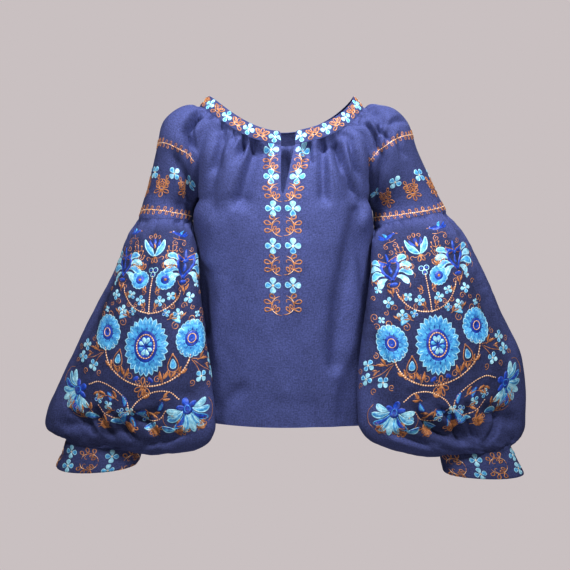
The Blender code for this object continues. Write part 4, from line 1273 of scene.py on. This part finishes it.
def sleeve_design(both):
    """The lower sleeve's embroidery about its big rosette, with x towards the outer side of the arm.
    Its two sides are alike, but for a small rosette that only one has where both is False."""
    half, design = Design(), Design()

    def strand(path, width, bead=4.4, radius=1.5):
        """A copper strand with cream knots."""
        path = through(path)
        design.stroke("copper", evenly(path), width)
        design.beads("cream", evenly(path, bead), radius, 1.1, 0.5)

    design.add(rosette(42, 54, 24, True))
    design.add(tulip(), 0, 186)
    design.add(three_loops(), 0, 139)
    strand([(0, 130), (1, 95), (0, 60)], 2.6)
    strand(arc(60, 58, 196, 344, (0, 119)), 2.6)
    strand(arc(84, 64, 186, 354, (0, -7)), 3.2, 4.8, 1.7)
    for sign, x in ((-1, 63), (1, 70)):
        design.add(heart_flower(), sign * x, 148, sign * -4, (0.98, 0.98), sign < 0)
        if both or sign > 0:
            design.add(small_rosette(), sign * 26, 123)
        for x, y, size, start, fills in (
            (19, 84, 19, 90, "spsp"), (39, 93, 17, 45, "ppsp"), (76, 88, 20, 80, "ppsp"),
            (55, 62, 20, 90, "pspp"), (92, 112, 15, 60, "spss"), (33, 62, 15, 70, "sbss"),
            (94, 57, 13, 45, "ppsp"), (132, -20, 22, 60, "spsp"), (136, -44, 22, 75, "psps"),
            (106, -52, 22, 50, "spps"),
        ):
            design.add(flower(size, fills, start), sign * x, y, sign * 8)
        design.add(rosette(29, 33, 18, False), sign * 84, 15)
    for curl in (
        (12, 66, 5, 60, 1.2), (27, 74, 5, 100, -1.2), (66, 76, 6.5, -20, 1.3), (44, 75, 5, 200, 1.2),
        (57, 106, 5, 30, 1.2), (14, 100, 5, -60, -1.2), (84, 70, 5, 120, 1.2), (70, 118, 5, 200, -1.2),
        (106, 62, 8.5, -70, 1.3), (83, 50, 7, 240, -1.2), (104, 45, 6.5, 40, 1.2), (52, 40, 8, 100, 1.3),
        (27, -57, 8, -30, 1.4), (60, -46, 5.5, 200, 1.2), (68, -8, 5.5, 0, 1.2), (8, -64, 6.5, 90, -1.2),
        (150, -30, 6.5, 0, 1.3), (122, -66, 6, 270, 1.3), (118, -4, 6, 90, 1.3), (90, -62, 6, 240, 1.3),
        (148, -54, 5.5, -60, 1.2), (103, 96, 5.5, 0, 1.2), (100, 130, 5, 90, -1.2),
    ):
        half.curl(*curl, 2.1)
    for x, y, turn, size in (
        (8, 68, -30, 16), (47, 84, -20, 17), (65, 96, -12, 19), (36, 50, -60, 19), (8, 100, -40, 14),
        (60, 52, -30, 16), (36, -66, -4, 27), (64, -52, -30, 22), (96, -24, -60, 22), (88, 118, -30, 15),
        (50, -58, -14, 18), (112, -30, -110, 15),
    ):
        half.add(corner_leaf(size), x, y, turn)
    half.add(bird(), 50, 214, 0, (1.15, 1.15), True)
    half.add(sprig(), 31, 145, -6)
    half.petal("pale", "sky", (44, 52), (60, 44), 8, 1.8, "leaf", 0.2)
    half.add(bud(31), 53, -28, 6)
    half.leaf("blue", (9, -55), (19, -63), 8.5, "oval", crown=1.4)
    for path in ([(86, -20), (104, -22), (124, -20)], [(90, -24), (108, -36), (126, -43)],
                 [(86, -22), (96, -34), (102, -44)]):
        half.stroke("copper", path, 2.1)
    half.loop("copper", (0, -72), (14, -82), 7, 2.1)
    half.loop("copper", (0, -74), (6, -92), 6, 2)
    design.add_both(half)
    design.loop("copper", (0, -71), (0, -55), 7, 2.1)

    # two beaded branches from the foot of the design, each with a fan flower
    strand([(22, -122), (30, -100), (56, -84), (86, -78), (108, -88)], 2.4)
    strand([(22, -122), (6, -98), (-22, -80), (-50, -78), (-68, -90)], 2.4)
    strand([(16, -116), (-8, -132), (-34, -128), (-46, -112)], 2.1, 4.8, 1.3)
    strand([(26, -120), (44, -136), (70, -132), (84, -120)], 2.1, 4.8, 1.3)
    design.add(fan_flower(), 130, -104, 52)
    design.add(fan_flower(), -84, -106, -18)
    for x, y, turn, size in (
        (44, -104, -60, 24), (66, -98, -100, 22), (2, -96, 40, 22), (-34, -94, 60, 22),
        (-16, -118, 100, 20), (82, -92, -150, 20), (-8, -112, 140, 18), (50, -122, -100, 20),
        (-60, -140, 60, 20), (96, -136, -30, 20),
    ):
        design.add(corner_leaf(size), x, y, turn)
    for x, y, turn, size in (
        (26, -124, 290, 26), (18, -128, 250, 22), (32, -112, 70, 20), (12, -122, 160, 22),
        (-30, -112, 120, 18), (60, -108, 60, 18),
    ):
        design.petal("sky", "blue", (x, y), polar(size, turn, (x, y)), size * 0.42, 1.8, "leaf", 0.15, 1.1)
    for x, y, start, fills in (
        (64, -116, 45, "spsp"), (-58, -120, 60, "psbs"), (22, -120, 45, "spsp"), (38, -124, 20, "bssb"),
        (-4, -128, 20, "sbsb"), (84, -108, 60, "sbsb"),
    ):
        design.add(flower(17, fills, start), x, y)
    for x, y, turn, size in (
        (-14, -152, 70, 30), (10, -158, -60, 30), (58, -156, -75, 30), (-62, -150, 80, 26),
        (112, -152, -50, 28), (140, -146, -20, 26), (-104, -146, 30, 26), (34, -150, 90, 26),
        (-36, -158, -60, 24), (84, -160, 60, 24),
    ):
        design.add(spray(size * 0.7), x, y, turn)
        design.add(corner_leaf(size * 0.8), x + 3, y + 4, turn + 25)
    for x, y, turn in ((34, -148, 10), (-40, -140, -170), (88, -144, -10), (-6, -146, 150), (120, -142, 40)):
        design.petal("sky", "pale", (x, y), polar(24, turn, (x, y)), 10, 1.9, "leaf", 0.15, 1.2)
        design.stroke("blue", [(x, y), polar(18, turn, (x, y))], lift=1)
    return design


def sew(name, design, to_chart):
    """Stitches a design onto a cut piece, one mesh for each thread. to_chart gives the arc lengths on
    the piece, in millimetres, of places in the design."""
    for thread in sorted(design.meshes):
        found = design.meshes[thread]
        starts = np.cumsum([0] + [len(points) for points, _ in found[:-1]])
        points = np.concatenate([points for points, _ in found])
        faces = np.concatenate([faces + start for (_, faces), start in zip(found, starts)])
        s, t = to_chart(points[:, 0], points[:, 1])
        mirrored = np.median(to_chart(points[:, 0] + 1, points[:, 1])[0] - s) < 0
        places = charts[name].place(s * MM, t * MM, points[:, 2] * MM)
        faces = faces[:, ::-1] if mirrored else faces
        kept, uvs = [], []
        for face, rows in zip(faces.tolist(), points[faces.ravel(), 3:5].reshape(-1, 4, 2) * MM):
            part = slice(0, 3) if face[2] == face[3] else slice(1, 4) if face[0] == face[1] else slice(0, 4)
            kept.append(face[part])
            uvs.append(rows[part])
        piece = mesh_object(name + "_" + thread, places, kept, THREADS[thread], np.concatenate(uvs))
        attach(piece, "root")
        embroidery[name].append(piece)


def flower_row(run, flowers):
    """A row of four-petal flowers with copper sprays between and below them, along a level run."""
    design, half, between = Design(), Design(), Design()
    half.add(spray(20), 2, -34, -16)
    half.loop("copper", (0, -32), (14, -38), 6, 2)
    half.curl(9, -20, 5, 90, -1.2)
    between.add_both(half)
    between.loop("copper", (0, -33), (0, -46), 6, 2)
    step = run / flowers
    for number in range(flowers):
        x = (number + 0.5) * step
        design.add(flower(27, "psps" if number % 2 else "ssps", 45), x, 0)
        if number < flowers - 1:
            design.add(between, x + step / 2)
    return design


front = Design()
for y, left, right in ((11, "spss", "pssp"), (63.5, "spss", "pssp"), (122.5, "psps", "ppss"),
                       (189.5, "psps", "ppss"), (260, "psps", "ppss")):
    front.add(flower(28, left), -17.8, -y)
    front.add(flower(28, right), 17.8, -y)
for y in (38, 93, 155, 225, 296):
    front.add(wreath(2.2), 0, -y)
sew("front", front, lambda x, y: (x, -y))

# The neckband's run is 800 long, with 16 flowers.
band, step = Design(), (800.0 - 25) / 15
for number in range(16):
    at = 12.5 + number * step
    band.add(flower(23, "spsp" if number % 2 else "ppsp"), at, -12.5)
    if number < 15:
        band.add(leaf_cluster(), at + step / 2, -11.5, 0, (1, 0.98))
charts["neckband"].s = charts["neckband"].s * (800.0 * MM / charts["neckband"].s[:, -1:])
sew("neckband", band, lambda x, y: (x, -y))

# On the upper sleeves the rows follow the seam to the lower sleeve, so they are measured up from it.
for word, chain_up, flowers_up in (("left", 141, 88), ("right", 158, 76)):
    chart = charts["sleeve_top_" + word]
    seam_s, seam_t = chart.s[-1] / MM, chart.t[-1] / MM
    first, last = seam_s[0] + 14, seam_s[-1] - 14
    inner, outer = first + chain_up * 0.05, last - chain_up * 0.05
    row = Design()
    row.add(chain([(x, 12 + 5 * math.sin(x / 40)) for x in np.arange(first, last, 24)]))
    row.add(flower_row(last - first, 7), first, flowers_up)
    row.add(chain([(x, chain_up + 4 * math.sin(x / 30)) for x in np.arange(inner, outer, 24)]))
    sew("sleeve_top_" + word, row, lambda x, y: (x, np.interp(x, seam_s, seam_t) - y))

# A cuff has wreaths and pairs of flowers in turn, 40 apart.
for word, first, start in (("left", -5, -18), ("right", -1, -6)):
    row = Design()
    for number in range(first, first + 8):
        x = start + 40.0 * number
        if (number + (word == "right")) % 2 == 0:
            row.add(wreath(2.3), x, -26, 90, (0.74, 0.98))
        else:
            row.add(flower(24, "psps"), x, -13)
            row.add(flower(24, "psps", 100), x, -39)
    sew("cuff_" + word, row, lambda x, y: (x, -y))

sew("sleeve_low_left", sleeve_design(True), lambda x, y: (14 - x + 0.10 * -y, 258 - y - 0.17 * x))
sew("sleeve_low_right", sleeve_design(False), lambda x, y: (-10 + x, 259 - y - 0.17 * x))


# ---------------------------------------------------------------- each cut piece's flat size, area, hold and neighbours, listed here and not used

BODY_RESTS, TOP_RESTS = "neckband sleeve_top_left sleeve_top_right", "neckband front back"
for name, flat, area, held, rests_on in (
    ("front", (0.58, 0.60), 0.29, "gathered", BODY_RESTS),
    ("back", (0.58, 0.60), 0.28, "gathered", BODY_RESTS),
    ("neckband", (0.76, 0.030), None, "folded", "front back"),
    ("sleeve_top_left", (0.42, 0.24), 0.080, "gathered", TOP_RESTS),
    ("sleeve_top_right", (0.42, 0.24), 0.080, "gathered", TOP_RESTS),
    ("sleeve_low_left", (0.72, 0.46), 0.31, "gathered", "sleeve_top_left cuff_left"),
    ("sleeve_low_right", (0.72, 0.46), 0.33, "gathered", "sleeve_top_right cuff_right"),
    ("cuff_left", (0.28, 0.05), None, "folded", "sleeve_low_left"),
    ("cuff_right", (0.28, 0.05), None, "folded", "sleeve_low_right"),
):
    rests_on = [word + "_cloth" for word in rests_on.split()]


# ---------------------------------------------------------------- floor, light and camera

FLOOR_Z, FLOOR_REACH, FLOOR_SIDES = -1.35, 2.2, 64
FLOOR_SEEN, FLOOR_SHARE = (0.52, 0.48, 0.485), 0.75     # keeps it pale where the narrow lights miss it
BACKDROP = (0.657, 0.606, 0.612)
AMBIENT, AMBIENT_STRENGTH = (1.00, 0.92, 0.80), 0.12
WARM, COOL = (1.0, 0.98, 0.95), (0.95, 0.97, 1.0)
AIM = np.array([0.02, 0.0, -0.19])
SPREAD = 52               # degrees, of the lights in front
CAMERA_PLACE = (0.0037, -3.0, -0.3366)
VIEW_GAMMA = 0.78         # the photograph has more contrast than a plain view
FRAME_WIDTH = 1.066       # width of the view at the middle of the blouse, y = 0
SENSOR = 36.0

scene = bpy.context.scene
turns = [2 * math.pi * k / FLOOR_SIDES for k in range(FLOOR_SIDES)]
rim = [(FLOOR_REACH * math.cos(turn), FLOOR_REACH * math.sin(turn), FLOOR_Z) for turn in turns]
floor_mesh = bpy.data.meshes.new("floor")
floor_mesh.from_pydata(rim, [], [list(range(FLOOR_SIDES))])
tree = Nodes(bpy.data.materials.new("floor_pale"))
paint = tree.nodes["Principled BSDF"]
tree.set(paint, {"Base Color": (0.60, 0.55, 0.55, 1), "Roughness": 0.9})
mix = tree.for_camera(FLOOR_SHARE, paint, tree.add("Emission", {"Color": (*FLOOR_SEEN, 1)}))
tree.set(tree.nodes["Material Output"], {"Surface": mix})
floor_mesh.materials.append(tree.owner)
floor = bpy.data.objects.new("floor", floor_mesh)
scene.collection.objects.link(floor)

scene.world = bpy.data.worlds.new("studio")
tree = Nodes(scene.world)
tree.nodes.clear()
ambient = tree.add("Background", {"Color": (*AMBIENT, 1), "Strength": AMBIENT_STRENGTH})
backdrop = tree.add("Background", {"Color": (*BACKDROP, 1)})
tree.add("OutputWorld", {"Surface": tree.for_camera(1, ambient, backdrop)})

for name, place, size, watts, spread, colour in (
    ("key", (0.80, -1.15, 1.42), 0.40, 5.7, SPREAD, WARM),
    ("front", (0.10, -2.10, -0.95), 0.60, 2.0, SPREAD, WARM),
    ("fill", (-0.80, -1.15, 1.38), 0.40, 4.7, SPREAD, WARM),
    ("back", (0.60, 2.60, 0.90), 1.2, 44.0, 180, COOL),
    ("left", (-2.80, 0.30, 0.30), 1.2, 5.0, 180, WARM),
    ("right", (2.80, 0.50, 0.30), 1.2, 6.0, 180, COOL),
):
    data = bpy.data.lights.new(name, "AREA")
    data.shape, data.size, data.energy, data.color = "DISK", size, watts, colour
    data.spread = math.radians(spread)
    lamp = bpy.data.objects.new(name, data)
    lamp.location = place
    lamp.rotation_euler = mathutils.Vector(AIM - place).to_track_quat("-Z", "Y").to_euler()
    scene.collection.objects.link(lamp)

camera_data = bpy.data.cameras.new("camera")
camera_data.sensor_fit = "AUTO"
camera_data.sensor_width = SENSOR
camera_data.lens = SENSOR * -CAMERA_PLACE[1] / FRAME_WIDTH
camera = bpy.data.objects.new("camera", camera_data)
camera.location = CAMERA_PLACE
camera.rotation_euler = (math.pi / 2, 0, 0)
scene.collection.objects.link(camera)
bpy.context.scene.camera = camera
scene.view_settings.view_transform = "Standard"
scene.view_settings.gamma = VIEW_GAMMA
